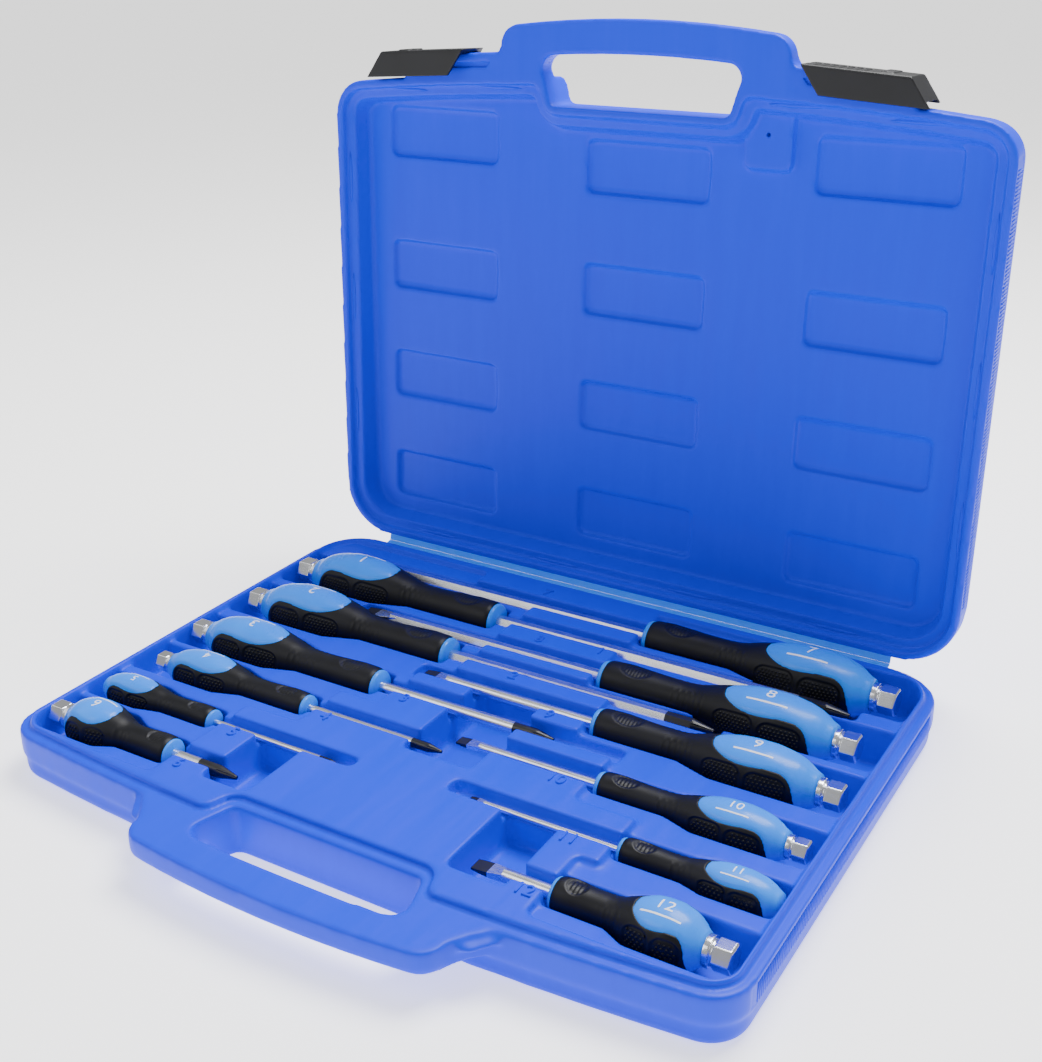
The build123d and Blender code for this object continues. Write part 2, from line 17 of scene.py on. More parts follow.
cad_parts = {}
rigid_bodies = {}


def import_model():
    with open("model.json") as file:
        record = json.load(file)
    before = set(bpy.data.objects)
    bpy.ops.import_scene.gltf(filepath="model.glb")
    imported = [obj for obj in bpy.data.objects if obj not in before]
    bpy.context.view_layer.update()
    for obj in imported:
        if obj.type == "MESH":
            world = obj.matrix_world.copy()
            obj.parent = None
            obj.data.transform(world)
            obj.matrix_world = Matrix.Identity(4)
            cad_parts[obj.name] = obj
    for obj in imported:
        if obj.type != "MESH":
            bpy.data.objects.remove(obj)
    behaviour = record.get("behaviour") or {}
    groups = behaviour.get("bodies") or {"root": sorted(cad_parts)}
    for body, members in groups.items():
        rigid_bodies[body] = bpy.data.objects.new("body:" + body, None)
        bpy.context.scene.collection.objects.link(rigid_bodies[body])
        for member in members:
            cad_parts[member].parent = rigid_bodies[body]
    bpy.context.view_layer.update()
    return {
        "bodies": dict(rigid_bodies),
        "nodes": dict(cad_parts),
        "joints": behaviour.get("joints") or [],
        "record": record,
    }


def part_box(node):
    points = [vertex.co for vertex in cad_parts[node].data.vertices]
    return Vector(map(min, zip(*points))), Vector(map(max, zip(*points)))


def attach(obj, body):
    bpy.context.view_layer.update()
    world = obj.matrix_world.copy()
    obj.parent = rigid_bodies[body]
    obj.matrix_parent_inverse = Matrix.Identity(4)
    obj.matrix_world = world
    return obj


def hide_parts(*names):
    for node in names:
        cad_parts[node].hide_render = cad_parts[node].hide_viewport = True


MM = 0.001
LOG = logging.getLogger("screwdriver_case")
# Vertices of a node's loose triangles that are closer than this are one
MERGE_DISTANCE = 0.004 * MM


class Side(Enum):
    """Which side of the tray a screwdriver's handle lies on."""

    LEFT = -1
    RIGHT = 1


def linear(hex_colour: str) -> tuple[float, float, float, float]:
    """Turn an sRGB hex colour into linear RGBA.

    Args:
        hex_colour: Colour such as "#2458c8".

    Returns:
        Linear red, green, blue and an alpha of 1.
    """
    channels = [int(hex_colour[i:i + 2], 16) / 255 for i in (1, 3, 5)]
    bent = [c / 12.92 if c <= 0.04045 else ((c + 0.055) / 1.055) ** 2.4 for c in channels]
    return (bent[0], bent[1], bent[2], 1.0)


def add_node(tree: bpy.types.NodeTree, kind: str, inputs: Optional[dict] = None,
             **settings) -> bpy.types.Node:
    """Add a node with its settings, values and links.

    Args:
        tree: Node tree that takes the node.
        kind: Node type name.
        inputs: Input name or number to a value, or to the output socket that feeds it.
        **settings: Properties of the node itself.

    Returns:
        The new node.
    """
    node = tree.nodes.new(kind)
    for name, value in settings.items():
        setattr(node, name, value)
    for key, value in (inputs or {}).items():
        socket = node.inputs[key]
        if isinstance(value, bpy.types.NodeSocket):
            tree.links.new(value, socket)
        else:
            socket.default_value = value
    return node


class Surface:
    """A material in the making: a Principled shader that a finish colours, glosses and grains."""

    def __init__(self, name: str) -> None:
        """Start the material with its shader wired to its output.

        Args:
            name: What the material is called.
        """
        self.material = bpy.data.materials.new(name)
        self.material.use_nodes = True
        self.tree = self.material.node_tree
        self.tree.nodes.clear()
        self.shader = self.add("ShaderNodeBsdfPrincipled")
        self.add("ShaderNodeOutputMaterial", {"Surface": self.shader.outputs["BSDF"]})
        self.place = self.add("ShaderNodeTexCoord").outputs["Object"]

    def add(self, kind: str, inputs: Optional[dict] = None) -> bpy.types.Node:
        """Add a node to the material."""
        return add_node(self.tree, kind, inputs)

    def set(self, values: dict) -> None:
        """Set constants on the shader's sockets."""
        for name, value in values.items():
            self.shader.inputs[name].default_value = value

    def paint(self, pattern: bpy.types.NodeSocket, stops: Sequence[tuple[float, str]]) -> None:
        """Colour the shader by a pattern.

        Args:
            pattern: Output that drives the colour.
            stops: Pairs of position and hex colour, in order.
        """
        bands = self.add("ShaderNodeValToRGB", {"Fac": pattern})
        elements = bands.color_ramp.elements
        while len(elements) < len(stops):
            elements.new(0.5)
        for element, (position, colour) in zip(elements, stops):
            element.position = position
            element.color = linear(colour)
        self.tree.links.new(bands.outputs["Color"], self.shader.inputs["Base Color"])

    def vary_gloss(self, pattern: bpy.types.NodeSocket, smoothest: float, roughest: float) -> None:
        """Vary the shader's roughness by a pattern.

        Args:
            pattern: Output that drives the roughness.
            smoothest: Roughness at the pattern's low end.
            roughest: Roughness at its high end.
        """
        spread = self.add("ShaderNodeMapRange", {
            "Value": pattern, "From Min": 0.3, "From Max": 0.7, "To Min": smoothest, "To Max": roughest})
        self.tree.links.new(spread.outputs["Result"], self.shader.inputs["Roughness"])

    def raise_grain(self, pattern: bpy.types.NodeSocket, height_mm: float, strength: float) -> None:
        """Raise a fine pattern on the surface.

        Args:
            pattern: Output that drives the height.
            height_mm: Height of the pattern.
            strength: Share of it that shows.
        """
        bump = self.add("ShaderNodeBump", {
            "Height": pattern, "Strength": strength, "Distance": height_mm * MM})
        self.tree.links.new(bump.outputs["Normal"], self.shader.inputs["Normal"])

    def noise(self, vector: bpy.types.NodeSocket, per_metre: float, detail: float) -> bpy.types.NodeSocket:
        """Output of a cloudy pattern, with so many clouds to the metre."""
        clouds = self.add("ShaderNodeTexNoise", {"Vector": vector, "Scale": per_metre, "Detail": detail})
        return clouds.outputs["Fac"]

    def stretched(self, scale: tuple) -> bpy.types.NodeSocket:
        """Output of the piece's coordinates, scaled along each axis."""
        return self.add("ShaderNodeMapping", {"Vector": self.place, "Scale": scale}).outputs["Vector"]


@dataclass(frozen=True)
class BlowMouldedPolyethylene:
    """Blow-moulded polyethylene: waxy satin, with faint flow streaks and a fine spark-eroded mould grain."""

    name: str = "blow_moulded_polyethylene_blue"
    deep: str = "#002eec"
    body: str = "#0030ee"
    pale: str = "#0432f0"
    roughness: float = 0.42
    roughness_spread: tuple = (0.05, 0.06)
    streak_mm: float = 9.0
    # The parison is drawn along the case, so the streaks run up the lid and across the tray
    streak_scale: tuple = (1.0, 0.12, 0.12)
    # The real grain is finer, and is drawn as coarse as it needs to show
    grain_mm: float = 1.1
    grain_height_mm: float = 0.03
    grain_strength: float = 0.3
    ior: float = 1.51
    specular: float = 0.18
    translucency: float = 0.0

    def build(self) -> bpy.types.Material:
        """Build the material.

        Returns:
            The finished material.
        """
        surface = Surface(self.name)
        streaks = surface.noise(surface.stretched(self.streak_scale), 1 / (self.streak_mm * MM), 4.0)
        streaks.node.inputs["Roughness"].default_value = 0.6
        surface.paint(streaks, ((0.30, self.deep), (0.52, self.body), (0.72, self.pale)))
        smoother, rougher = self.roughness_spread
        surface.vary_gloss(streaks, self.roughness - smoother, self.roughness + rougher)
        grain = surface.noise(surface.place, 1 / (self.grain_mm * MM), 2.0)
        surface.raise_grain(grain, self.grain_height_mm, self.grain_strength)
        surface.set({"IOR": self.ior, "Specular IOR Level": self.specular,
                     "Transmission Weight": self.translucency})
        return surface.material


@dataclass(frozen=True)
class MouldedPlastic:
    """Injection-moulded plastic with a little tone variation and a mould texture."""

    name: str
    tone: str
    shade: str
    roughness: float
    roughness_spread: tuple = (0.04, 0.05)
    clouds_per_metre: float = 60.0
    # The real grain is finer, and is drawn as coarse as it needs to show
    grain_mm: float = 0.6
    grain_height_mm: float = 0.01
    grain_strength: float = 0.3
    ior: float = 1.5
    coat: float = 0.0
    coat_roughness: float = 0.08
    specular: float = 0.4

    def build(self) -> bpy.types.Material:
        """Build the material.

        Returns:
            The finished material.
        """
        surface = Surface(self.name)
        clouds = surface.noise(surface.place, self.clouds_per_metre, 3.0)
        surface.paint(clouds, ((0.35, self.shade), (0.65, self.tone)))
        smoother, rougher = self.roughness_spread
        surface.vary_gloss(clouds, self.roughness - smoother, self.roughness + rougher)
        grain = surface.noise(surface.place, 1 / (self.grain_mm * MM), 1.0)
        surface.raise_grain(grain, self.grain_height_mm, self.grain_strength)
        surface.set({"IOR": self.ior, "Specular IOR Level": self.specular,
                     "Coat Weight": self.coat, "Coat Roughness": self.coat_roughness})
        return surface.material


@dataclass(frozen=True)
class PlatedSteel:
    """Ground steel under satin chrome plate: bright, with fine lengthwise polishing marks."""

    name: str
    tone: str
    shade: str
    roughness: float
    roughness_spread: tuple = (0.05, 0.06)
    clouds_per_metre: float = 45.0
    # The real marks are finer, and are drawn as coarse as they need to show
    mark_mm: float = 0.35
    mark_height_mm: float = 0.006
    mark_strength: float = 0.25
    mark_scale: tuple = (0.03, 1.0, 1.0)

    def build(self) -> bpy.types.Material:
        """Build the material.

        Returns:
            The finished material.
        """
        surface = Surface(self.name)
        marks = surface.noise(surface.stretched(self.mark_scale), 1 / (self.mark_mm * MM), 2.0)
        clouds = surface.noise(surface.place, self.clouds_per_metre, 4.0)
        surface.paint(clouds, ((0.3, self.shade), (0.7, self.tone)))
        smoother, rougher = self.roughness_spread
        surface.vary_gloss(marks, self.roughness - smoother, self.roughness + rougher)
        surface.raise_grain(marks, self.mark_height_mm, self.mark_strength)
        surface.set({"Metallic": 1.0})
        return surface.material


@dataclass
class Materials:
    """Every finish on the case and its screwdrivers."""

    shell: bpy.types.Material = field(init=False)
    web: bpy.types.Material = field(init=False)
    latch: bpy.types.Material = field(init=False)
    core: bpy.types.Material = field(init=False)
    grip: bpy.types.Material = field(init=False)
    steel: bpy.types.Material = field(init=False)
    oxide: bpy.types.Material = field(init=False)
    cap: bpy.types.Material = field(init=False)
    ink: bpy.types.Material = field(init=False)

    def __post_init__(self) -> None:
        """Build each material once."""
        self.shell = BlowMouldedPolyethylene().build()
        # Flexed thin polyethylene whitens and lets light through, and its colour is also painted paler than
        # the walls as painted light, standing in for light shining through the thin film from behind
        self.web = BlowMouldedPolyethylene(
            "flexed_polyethylene_web", "#2a90ff", "#3496ff", "#409eff", 0.38, translucency=0.3).build()
        # Glass-filled nylon: dark grey, dry and faintly grained
        self.latch = MouldedPlastic(
            "grained_nylon_black", "#131418", "#0e0f12", 0.46, grain_mm=0.5, grain_height_mm=0.02).build()
        # Hard polypropylene core: saturated light blue with a smooth moulded skin
        self.core = MouldedPlastic(
            "smooth_polypropylene_light_blue", "#148aff", "#1084fb", 0.30, grain_mm=1.2,
            grain_height_mm=0.004, ior=1.49, coat=0.05, specular=0.25).build()
        # Thermoplastic elastomer: black, soft and almost matt
        self.grip = MouldedPlastic(
            "thermoplastic_elastomer_black", "#111217", "#0c0d11", 0.46, grain_mm=0.4, grain_height_mm=0.012,
            specular=0.25).build()
        # Satin chrome over ground steel: bright, with soft reflections drawn out along the shank
        self.steel = PlatedSteel("satin_chrome_vanadium_steel", "#e9ebef", "#dcdfe4", 0.27).build()
        # Black oxide on the hardened tip: a thin dark skin over the steel
        self.oxide = MouldedPlastic(
            "black_oxide_steel", "#17171a", "#0c0c0e", 0.36, grain_mm=0.3, grain_height_mm=0.008,
            ior=1.6).build()
        # Bright plate on the turned caps: clearer reflections than the shanks'
        self.cap = PlatedSteel("bright_plated_cap_steel", "#eceef1", "#e0e2e6", 0.2).build()
        # Pad-printed ink: flat white with a slight sheen
        self.ink = MouldedPlastic("pad_printed_white_ink", "#f4f7fb", "#eceff4", 0.45).build()


def mesh_object(name: str, mesh: bpy.types.Mesh) -> bpy.types.Object:
    """Link a mesh into the scene as an object at the origin.

    Args:
        name: Name of the object.
        mesh: Its mesh.

    Returns:
        The object.
    """
    made = bpy.data.objects.new(name, mesh)
    bpy.context.scene.collection.objects.link(made)
    return made


def shade_smooth(mesh: bpy.types.Mesh) -> None:
    """Shade every face of a mesh smooth."""
    mesh.polygons.foreach_set("use_smooth", [True] * len(mesh.polygons))


def face_outwards(mesh: bpy.types.Mesh, merge: float = 0.0) -> bpy.types.Mesh:
    """Turn a closed mesh's faces outwards.

    Args:
        mesh: The mesh, which is changed.
        merge: Distance within which its vertices are merged first, or 0.

    Returns:
        The same mesh.
    """
    work = bmesh.new()
    work.from_mesh(mesh)
    if merge:
        bmesh.ops.remove_doubles(work, verts=work.verts, dist=merge)
    bmesh.ops.recalc_face_normals(work, faces=work.faces)
    work.to_mesh(mesh)
    work.free()
    return mesh


def freeze(piece: bpy.types.Object) -> bpy.types.Object:
    """Turn a piece's modifiers into plain mesh.

    Args:
        piece: Object whose modifiers are applied.

    Returns:
        The same object, with no modifiers.
    """
    graph = bpy.context.evaluated_depsgraph_get()
    graph.update()
    made = bpy.data.meshes.new_from_object(piece.evaluated_get(graph))
    old = piece.data
    piece.modifiers.clear()
    piece.data = made
    made.name = piece.name
    bpy.data.meshes.remove(old)
    return piece


def prism(name: str, outline: Sequence[Vector], through: Vector) -> bpy.types.Mesh:
    """Closed prism on a flat outline.

    Args:
        name: Name of the mesh.
        outline: Corners in order.
        through: Vector from the outline to the far face.

    Returns:
        The mesh.
    """
    count = len(outline)
    corners = [tuple(p) for p in outline] + [tuple(p + through) for p in outline]
    sides = [(i, (i + 1) % count, (i + 1) % count + count, i + count) for i in range(count)]
    mesh = bpy.data.meshes.new(name)
    mesh.from_pydata(corners, [], sides + [tuple(range(count)), tuple(range(count, 2 * count))])
    return face_outwards(mesh)


def probe(node: bpy.types.Object) -> BVHTree:
    """Make a search tree over a node's surface.

    Args:
        node: The frame's own object, which is left alone.

    Returns:
        The tree.
    """
    work = bmesh.new()
    work.from_mesh(node.data)
    tree = BVHTree.FromBMesh(work)
    work.free()
    return tree


def moulded_copy(node: bpy.types.Object, name: str, voxel_mm: float, passes: int, triangles: int,
                 webs: Sequence[bpy.types.Mesh] = ()) -> bpy.types.Object:
    """Copy a node with every edge rounded, as air pressure or a mould leaves it.

    Args:
        node: The frame's own object, which is left alone.
        name: Name of the new piece.
        voxel_mm: Spacing of the mesh that is drawn over the node.
        passes: Smoothing passes, which set the radius of the edges.
        triangles: Triangles that the piece is thinned to.
        webs: Closed forms that are moulded in one with it.

    Returns:
        The new piece.
    """
    work = bmesh.new()
    work.from_mesh(node.data)
    bmesh.ops.remove_doubles(work, verts=work.verts, dist=MERGE_DISTANCE)
    for web in webs:
        work.from_mesh(web)
    mesh = bpy.data.meshes.new(name)
    work.to_mesh(mesh)
    work.free()
    piece = mesh_object(name, mesh)
    skin = piece.modifiers.new("skin", "REMESH")
    skin.mode = "VOXEL"
    skin.voxel_size = voxel_mm * MM
    soft = piece.modifiers.new("soft", "SMOOTH")
    soft.factor = 0.5
    soft.iterations = passes
    freeze(piece)
    thin = piece.modifiers.new("thin", "DECIMATE")
    thin.ratio = min(1.0, triangles / (2 * len(piece.data.polygons)))
    thin.use_collapse_triangulate = True
    freeze(piece)
    shade_smooth(piece.data)
    return piece


def dress(piece: bpy.types.Object, material: bpy.types.Material, body: str, slot: str, *nodes: str) -> None:
    """Give a piece its finish and its part in the motion.

    Args:
        piece: The piece.
        material: Its finish.
        body: The body that it rides on.
        slot: The slot that its finish belongs to; not used.
        *nodes: The nodes that it stands for.
    """
    piece.data.materials.clear()
    piece.data.materials.append(material)
    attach(piece, body)
    if nodes:
        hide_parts(*nodes)


class Feature(Enum):
    """Small forms that Geometry Nodes set on points."""

    DOME = "dome"
    RIB = "rib"
    BEAD = "bead"


@dataclass
class RepeatedFeatures:
    """A small form set on many points by Geometry Nodes, each turned by its point's attributes."""

    feature: Feature
    material: bpy.types.Material
    sizes_mm: tuple
    rib_sides: int = 8
    dome_segments: int = 10
    dome_rings: int = 5

    def __post_init__(self) -> None:
        """Build the node tree."""
        tree = bpy.data.node_groups.new(f"{self.feature.value}s_on_points", "GeometryNodeTree")
        face = tree.interface
        face.new_socket("Geometry", in_out="INPUT", socket_type="NodeSocketGeometry")
        names = ("Length", "Width", "Height")
        sockets = [face.new_socket(n, in_out="INPUT", socket_type="NodeSocketFloat") for n in names]
        self.inputs = [socket.identifier for socket in sockets]
        face.new_socket("Geometry", in_out="OUTPUT", socket_type="NodeSocketGeometry")
        start = add_node(tree, "NodeGroupInput")
        if self.feature is Feature.RIB:
            form = add_node(tree, "GeometryNodeMeshCylinder", {
                "Vertices": self.rib_sides, "Radius": 0.5, "Depth": 1.0})
        else:
            form = add_node(tree, "GeometryNodeMeshUVSphere", {
                "Segments": self.dome_segments, "Rings": self.dome_rings, "Radius": 0.5})
        size = add_node(tree, "ShaderNodeCombineXYZ", {
            "X": start.outputs["Length"], "Y": start.outputs["Width"], "Z": start.outputs["Height"]})
        sized = add_node(tree, "GeometryNodeTransform", {
            "Geometry": form.outputs["Mesh"], "Scale": size.outputs["Vector"]})
        outward = add_node(
            tree, "GeometryNodeInputNamedAttribute", {"Name": "outward"}, data_type="FLOAT_VECTOR")
        along = add_node(tree, "GeometryNodeInputNamedAttribute", {"Name": "along"}, data_type="FLOAT_VECTOR")
        stand = add_node(
            tree, "FunctionNodeAlignRotationToVector", {"Vector": outward.outputs["Attribute"]}, axis="Z")
        turn = add_node(tree, "FunctionNodeAlignRotationToVector", {
            "Rotation": stand.outputs["Rotation"], "Vector": along.outputs["Attribute"]},
            axis="X", pivot_axis="Z")
        placed = add_node(tree, "GeometryNodeInstanceOnPoints", {
            "Points": start.outputs["Geometry"], "Instance": sized.outputs["Geometry"],
            "Rotation": turn.outputs["Rotation"]})
        real = add_node(tree, "GeometryNodeRealizeInstances", {"Geometry": placed.outputs["Instances"]})
        dressed = add_node(tree, "GeometryNodeSetMaterial", {
            "Geometry": real.outputs["Geometry"], "Material": self.material})
        smoothed = add_node(tree, "GeometryNodeSetShadeSmooth", {"Geometry": dressed.outputs["Geometry"]})
        add_node(tree, "NodeGroupOutput", {"Geometry": smoothed.outputs["Geometry"]})
        self.tree = tree

    def build(self, name: str, places: Sequence, outwards: Sequence, alongs: Sequence) -> bpy.types.Object:
        """Set the form on every place.

        Args:
            name: Name of the new piece.
            places: Where the forms stand.
            outwards: The way each one's height points.
            alongs: The way each one's length points.

        Returns:
            The new piece, as plain mesh.
        """
        mesh = bpy.data.meshes.new(name)
        mesh.from_pydata([tuple(p) for p in places], [], [])
        for attribute, values in (("outward", outwards), ("along", alongs)):
            layer = mesh.attributes.new(attribute, "FLOAT_VECTOR", "POINT")
            layer.data.foreach_set("vector", [c for v in values for c in v])
        piece = mesh_object(name, mesh)
        modifier = piece.modifiers.new("features", "NODES")
        modifier.node_group = self.tree
        for identifier, size in zip(self.inputs, self.sizes_mm):
            modifier[identifier] = size * MM
        return freeze(piece)


@dataclass
class LidPlane:
    """The open lid's rim plane: u across, v from the hinge edge, and depth into the lid."""

    hinge_y: float = 0.1428
    hinge_z: float = 0.025
    edge_gap: float = 0.0033
    open_deg: float = 92.48

    def __post_init__(self) -> None:
        """Work out the plane's directions."""
        turn = math.radians(self.open_deg)
        self.fold = Vector((0.0, self.hinge_y, self.hinge_z))
        self.up = Vector((0.0, -math.cos(turn), math.sin(turn)))
        self.into = Vector((0.0, math.sin(turn), math.cos(turn)))

    def point(self, u: float, v: float, depth: float) -> Vector:
        """Point at a place on the lid, in the row frame."""
        return Vector((u, self.hinge_y, self.hinge_z)) + self.up * (v + self.edge_gap) + self.into * depth


@dataclass
class CaseShells:
    """The two blow-moulded halves with their ribs and beads, the film hinge and the two latches."""

    frame: dict
    materials: Materials
    lid: LidPlane = field(default_factory=LidPlane)
    case_depth: float = 0.279
    front_bow: float = 0.0108
    # How the shells and the latches are skinned again
    voxel_mm: float = 1.0
    base_passes: int = 20
    lid_passes: int = 8
    triangles: int = 180000
    latch_voxel_mm: float = 0.3
    latch_passes: int = 4
    latch_triangles: int = 50000
    # Film hinge: how far each web runs into its shell, dives there and passes the fold
    web_overlap: float = 0.0014
    web_dive: float = 0.0009
    web_meet: float = 0.00012
    # Fine ribs along both halves' sides
    rib_pitch: float = 0.0019
    rib_sizes_mm: tuple = (0.5, 0.95, 9.0)
    rib_middle: float = 0.0072
    rib_start: float = 0.034
    rib_end: float = 0.252
    rib_sink: float = 0.00035
    rib_side_depth: float = 0.0008
    rib_band_margins: tuple = (0.002, 0.0006)
    # Low beads on the ledge inside the lid's rim
    bead_sizes_mm: tuple = (31.0, 2.4, 1.6)
    bead_depth: float = 0.0043
    bead_inset: float = 0.0062
    bead_top: tuple = (0.084, 0.144)
    bead_low: tuple = (-0.125, -0.042, 0.042, 0.125)
    bead_sides: tuple = (0.075, 0.145, 0.215)
    # Sloped webs beside the lid's handle: corners in plan, and thickness
    gusset: tuple = ((0.0785, 0.296), (0.0825, 0.2883), (0.086, 0.2825), (0.0895, 0.279), (0.0925, 0.2755),
                     (0.0785, 0.274))
    gusset_start: float = 0.0002
    gusset_thickness: float = 0.0116
    # Small blind hole in the stop pad, cut by a drill that starts above it
    pad_hole: tuple = (0.0675, 0.2555, 0.011)
    pad_hole_radius: float = 0.0011
    pad_hole_corners: int = 24
    drill_rise: float = 0.002
    drill_length: float = 0.0055
    # Shut rims: how clear the lid's stands, and the band in which the tongue's foot is pressed to form
    rim_clearance: float = 0.0001
    foot_drop: float = 0.0004
    foot_height: float = 0.0034
    foot_reach: float = 0.022
    # Latch plates, with their guide grooves: across from, across to, and between which depths
    latch_slope: float = 0.062
    latch_slant: float = 0.8
    latch_start: float = 0.080
    latch_outer: float = 0.2912
    groove_ends: tuple = (0.002, 0.054)
    grooves: tuple = ((0.0068, 0.0096, -0.0006, 0.0015), (0.0098, 0.0126, 0.0105, 0.0126))

    def __post_init__(self) -> None:
        """Read how wide and deep the case is from the frame."""
        self.half_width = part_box("base_shell")[1].x
        self.half_depth = self.case_depth / 2

    def build(self) -> None:
        """Round and dress the shells, webs and latches, and add the shells' small forms."""
        self.build_base()
        self.build_lid()
        for node, body in (("latch_left", "left_latch"), ("latch_right", "right_latch")):
            piece = moulded_copy(self.frame["nodes"][node], f"{node}_moulded",
                                 self.latch_voxel_mm, self.latch_passes, self.latch_triangles)
            dress(piece, self.materials.latch, body, "latch_plastic", node)
        self.build_web()
        self.build_ribs()
        self.build_beads()

    def build_base(self) -> None:
        """Round the base and fit it for its ribs and its lid."""
        piece = moulded_copy(self.frame["nodes"]["base_shell"], "base_shell_moulded",
                             self.voxel_mm, self.base_passes, self.triangles)
        self.sink_rib_bands(piece, "base")
        self.press_foot(piece)
        dress(piece, self.materials.shell, "base", "blue_shell", "base_shell")
        LOG.info("%s: %d faces", piece.name, len(piece.data.polygons))

    def build_lid(self) -> None:
        """Round the lid with its gussets, fit it for its ribs and the base, and cut its grooves and hole."""
        piece = moulded_copy(self.frame["nodes"]["lid_shell"], "lid_shell_moulded",
                             self.voxel_mm, self.lid_passes, self.triangles, self.gussets())
        self.sink_rib_bands(piece, "lid")
        self.lift_rim(piece)
        self.cut(piece, [self.pad_drill(), *self.guide_grooves()])
        dress(piece, self.materials.shell, "lid", "blue_shell", "lid_shell")
        LOG.info("%s: %d faces", piece.name, len(piece.data.polygons))

    def sink_rib_bands(self, shell: bpy.types.Object, body: str) -> None:
        """Sink the sides of a rim band a little, so that its ribs end flush with the shell.

        Args:
            shell: The rounded shell.
            body: The body that it rides on.
        """
        end_margin, edge_margin = self.rib_band_margins
        half = self.rib_sizes_mm[2] / 2 * MM + edge_margin
        for vert in shell.data.vertices:
            if abs(vert.co.x) < self.half_width - self.rib_side_depth:
                continue
            if body == "base":
                v, depth = self.half_depth - vert.co.y, self.lid.hinge_z - vert.co.z
            else:
                rel = vert.co - self.lid.fold
                v, depth = rel.dot(self.lid.up) - self.lid.edge_gap, rel.dot(self.lid.into)
            along_ribs = self.rib_start - end_margin < v < self.rib_end + end_margin
            if along_ribs and abs(depth - self.rib_middle) < half:
                vert.co.x -= math.copysign(self.rib_sink, vert.co.x)

    def gussets(self) -> list[bpy.types.Mesh]:
        """Sloped webs that join the carrying handle to the latch plates.

        Returns:
            One web for each side.
        """
        return [
            prism("gusset", [self.lid.point(side * u, v, self.gusset_start) for u, v in self.gusset],
                  self.lid.into * self.gusset_thickness)
            for side in (-1, 1)]

    def press_foot(self, shell: bpy.types.Object) -> None:
        """Press the outer foot of the base's tongue back to form, so that the lid closes over it.

        Args:
            shell: The rounded base.
        """
        form = probe(self.frame["nodes"]["base_shell"])
        rim = self.lid.hinge_z
        inner_x, inner_y = self.half_width - self.foot_reach, self.half_depth - self.foot_reach
        for vert in shell.data.vertices:
            if not rim - self.foot_drop < vert.co.z < rim + self.foot_height:
                continue
            if abs(vert.co.x) < inner_x and abs(vert.co.y) < inner_y:
                continue
            spot, normal, _, _ = form.find_nearest(vert.co)
            on_rim = normal.z > 0.9 and spot.z < rim + self.rim_clearance
            outward = normal.x * vert.co.x / self.half_width + normal.y * vert.co.y / self.half_depth
            if (on_rim or outward > 0.3) and (vert.co - spot).dot(normal) > 0:
                vert.co = spot

    def lift_rim(self, shell: bpy.types.Object) -> None:
        """Keep the lid's rim just clear of the base's when the case is shut.

        Args:
            shell: The rounded lid.
        """
        rim = self.lid.point(0.0, 0.0, self.rim_clearance)
        for vert in shell.data.vertices:
            short = (rim - vert.co).dot(self.lid.into)
            if short > 0:
                vert.co += self.lid.into * short

    def pad_drill(self) -> bpy.types.Mesh:
        """Form of the small blind hole in the stop pad.

        Returns:
            A drill that starts just over the pad.
        """
        u, v, depth = self.pad_hole
        radius, top = self.pad_hole_radius, depth - self.drill_rise
        turns = [math.tau * step / self.pad_hole_corners for step in range(self.pad_hole_corners)]
        rim = [self.lid.point(u + radius * math.cos(turn), v + radius * math.sin(turn), top)
               for turn in turns]
        return prism("drill", rim, self.lid.into * self.drill_length)

    def guide_grooves(self) -> list[bpy.types.Mesh]:
        """Forms of the grooves that guide each latch's rib and lip along its plate.

        Returns:
            The grooves of both plates.
        """
        made = []
        for side in (-1, 1):
            for near, far, top, bottom in self.grooves:
                start, end = self.groove_ends
                corners = ((start, near), (end, near), (end, far), (start, far))
                slanted = [(along + self.latch_slant * across, across) for along, across in corners]
                places = [self.slide_point(*corner) for corner in slanted]
                outline = [self.lid.point(side * u, v, top) for u, v in places]
                made.append(prism("groove", outline, self.lid.into * (bottom - top)))
        return made

    def slide_point(self, along: float, across: float) -> tuple[float, float]:
        """Place on a latch plate.

        Args:
            along: Distance along the slide from its inner end.
            across: Distance in from the latch's outer face.

        Returns:
            The place across the lid and up from its hinge edge.
        """
        angle = math.atan(self.latch_slope)
        return (self.latch_start + along * math.cos(angle) - across * math.sin(angle),
                self.latch_outer - along * math.sin(angle) - across * math.cos(angle))

    def cut(self, shell: bpy.types.Object, forms: Sequence[bpy.types.Mesh]) -> None:
        """Cut closed forms out of a shell.

        Args:
            shell: The shell.
            forms: The forms, which stand clear of each other.
        """
        work = bmesh.new()
        for form in forms:
            work.from_mesh(form)
        joined = bpy.data.meshes.new("drill")
        work.to_mesh(joined)
        work.free()
        drill = mesh_object("drill", joined)
        cut = shell.modifiers.new("cut", "BOOLEAN")
        cut.operation = "DIFFERENCE"
        cut.object = drill
        cut.solver = "EXACT"
        freeze(shell)
        bpy.data.objects.remove(drill)

    def build_web(self) -> None:
        """Run each half of the film hinge on into its shell, whose rounded edge leaves it."""
        for node, body, away, sunk in (("hinge_web_base", "base", Vector((0, -1, 0)), Vector((0, 0, -1))),
                                       ("hinge_web_lid", "lid", self.lid.up, self.lid.into)):
            mesh = self.frame["nodes"][node].data.copy()
            for vert in mesh.vertices:
                if (vert.co - self.lid.fold).dot(away) > self.lid.edge_gap / 2:
                    vert.co += away * self.web_overlap + sunk * self.web_dive
                else:
                    vert.co -= away * self.web_meet
            piece = mesh_object(f"{node}_moulded", mesh)
            dress(piece, self.materials.web, body, "film_hinge", node)

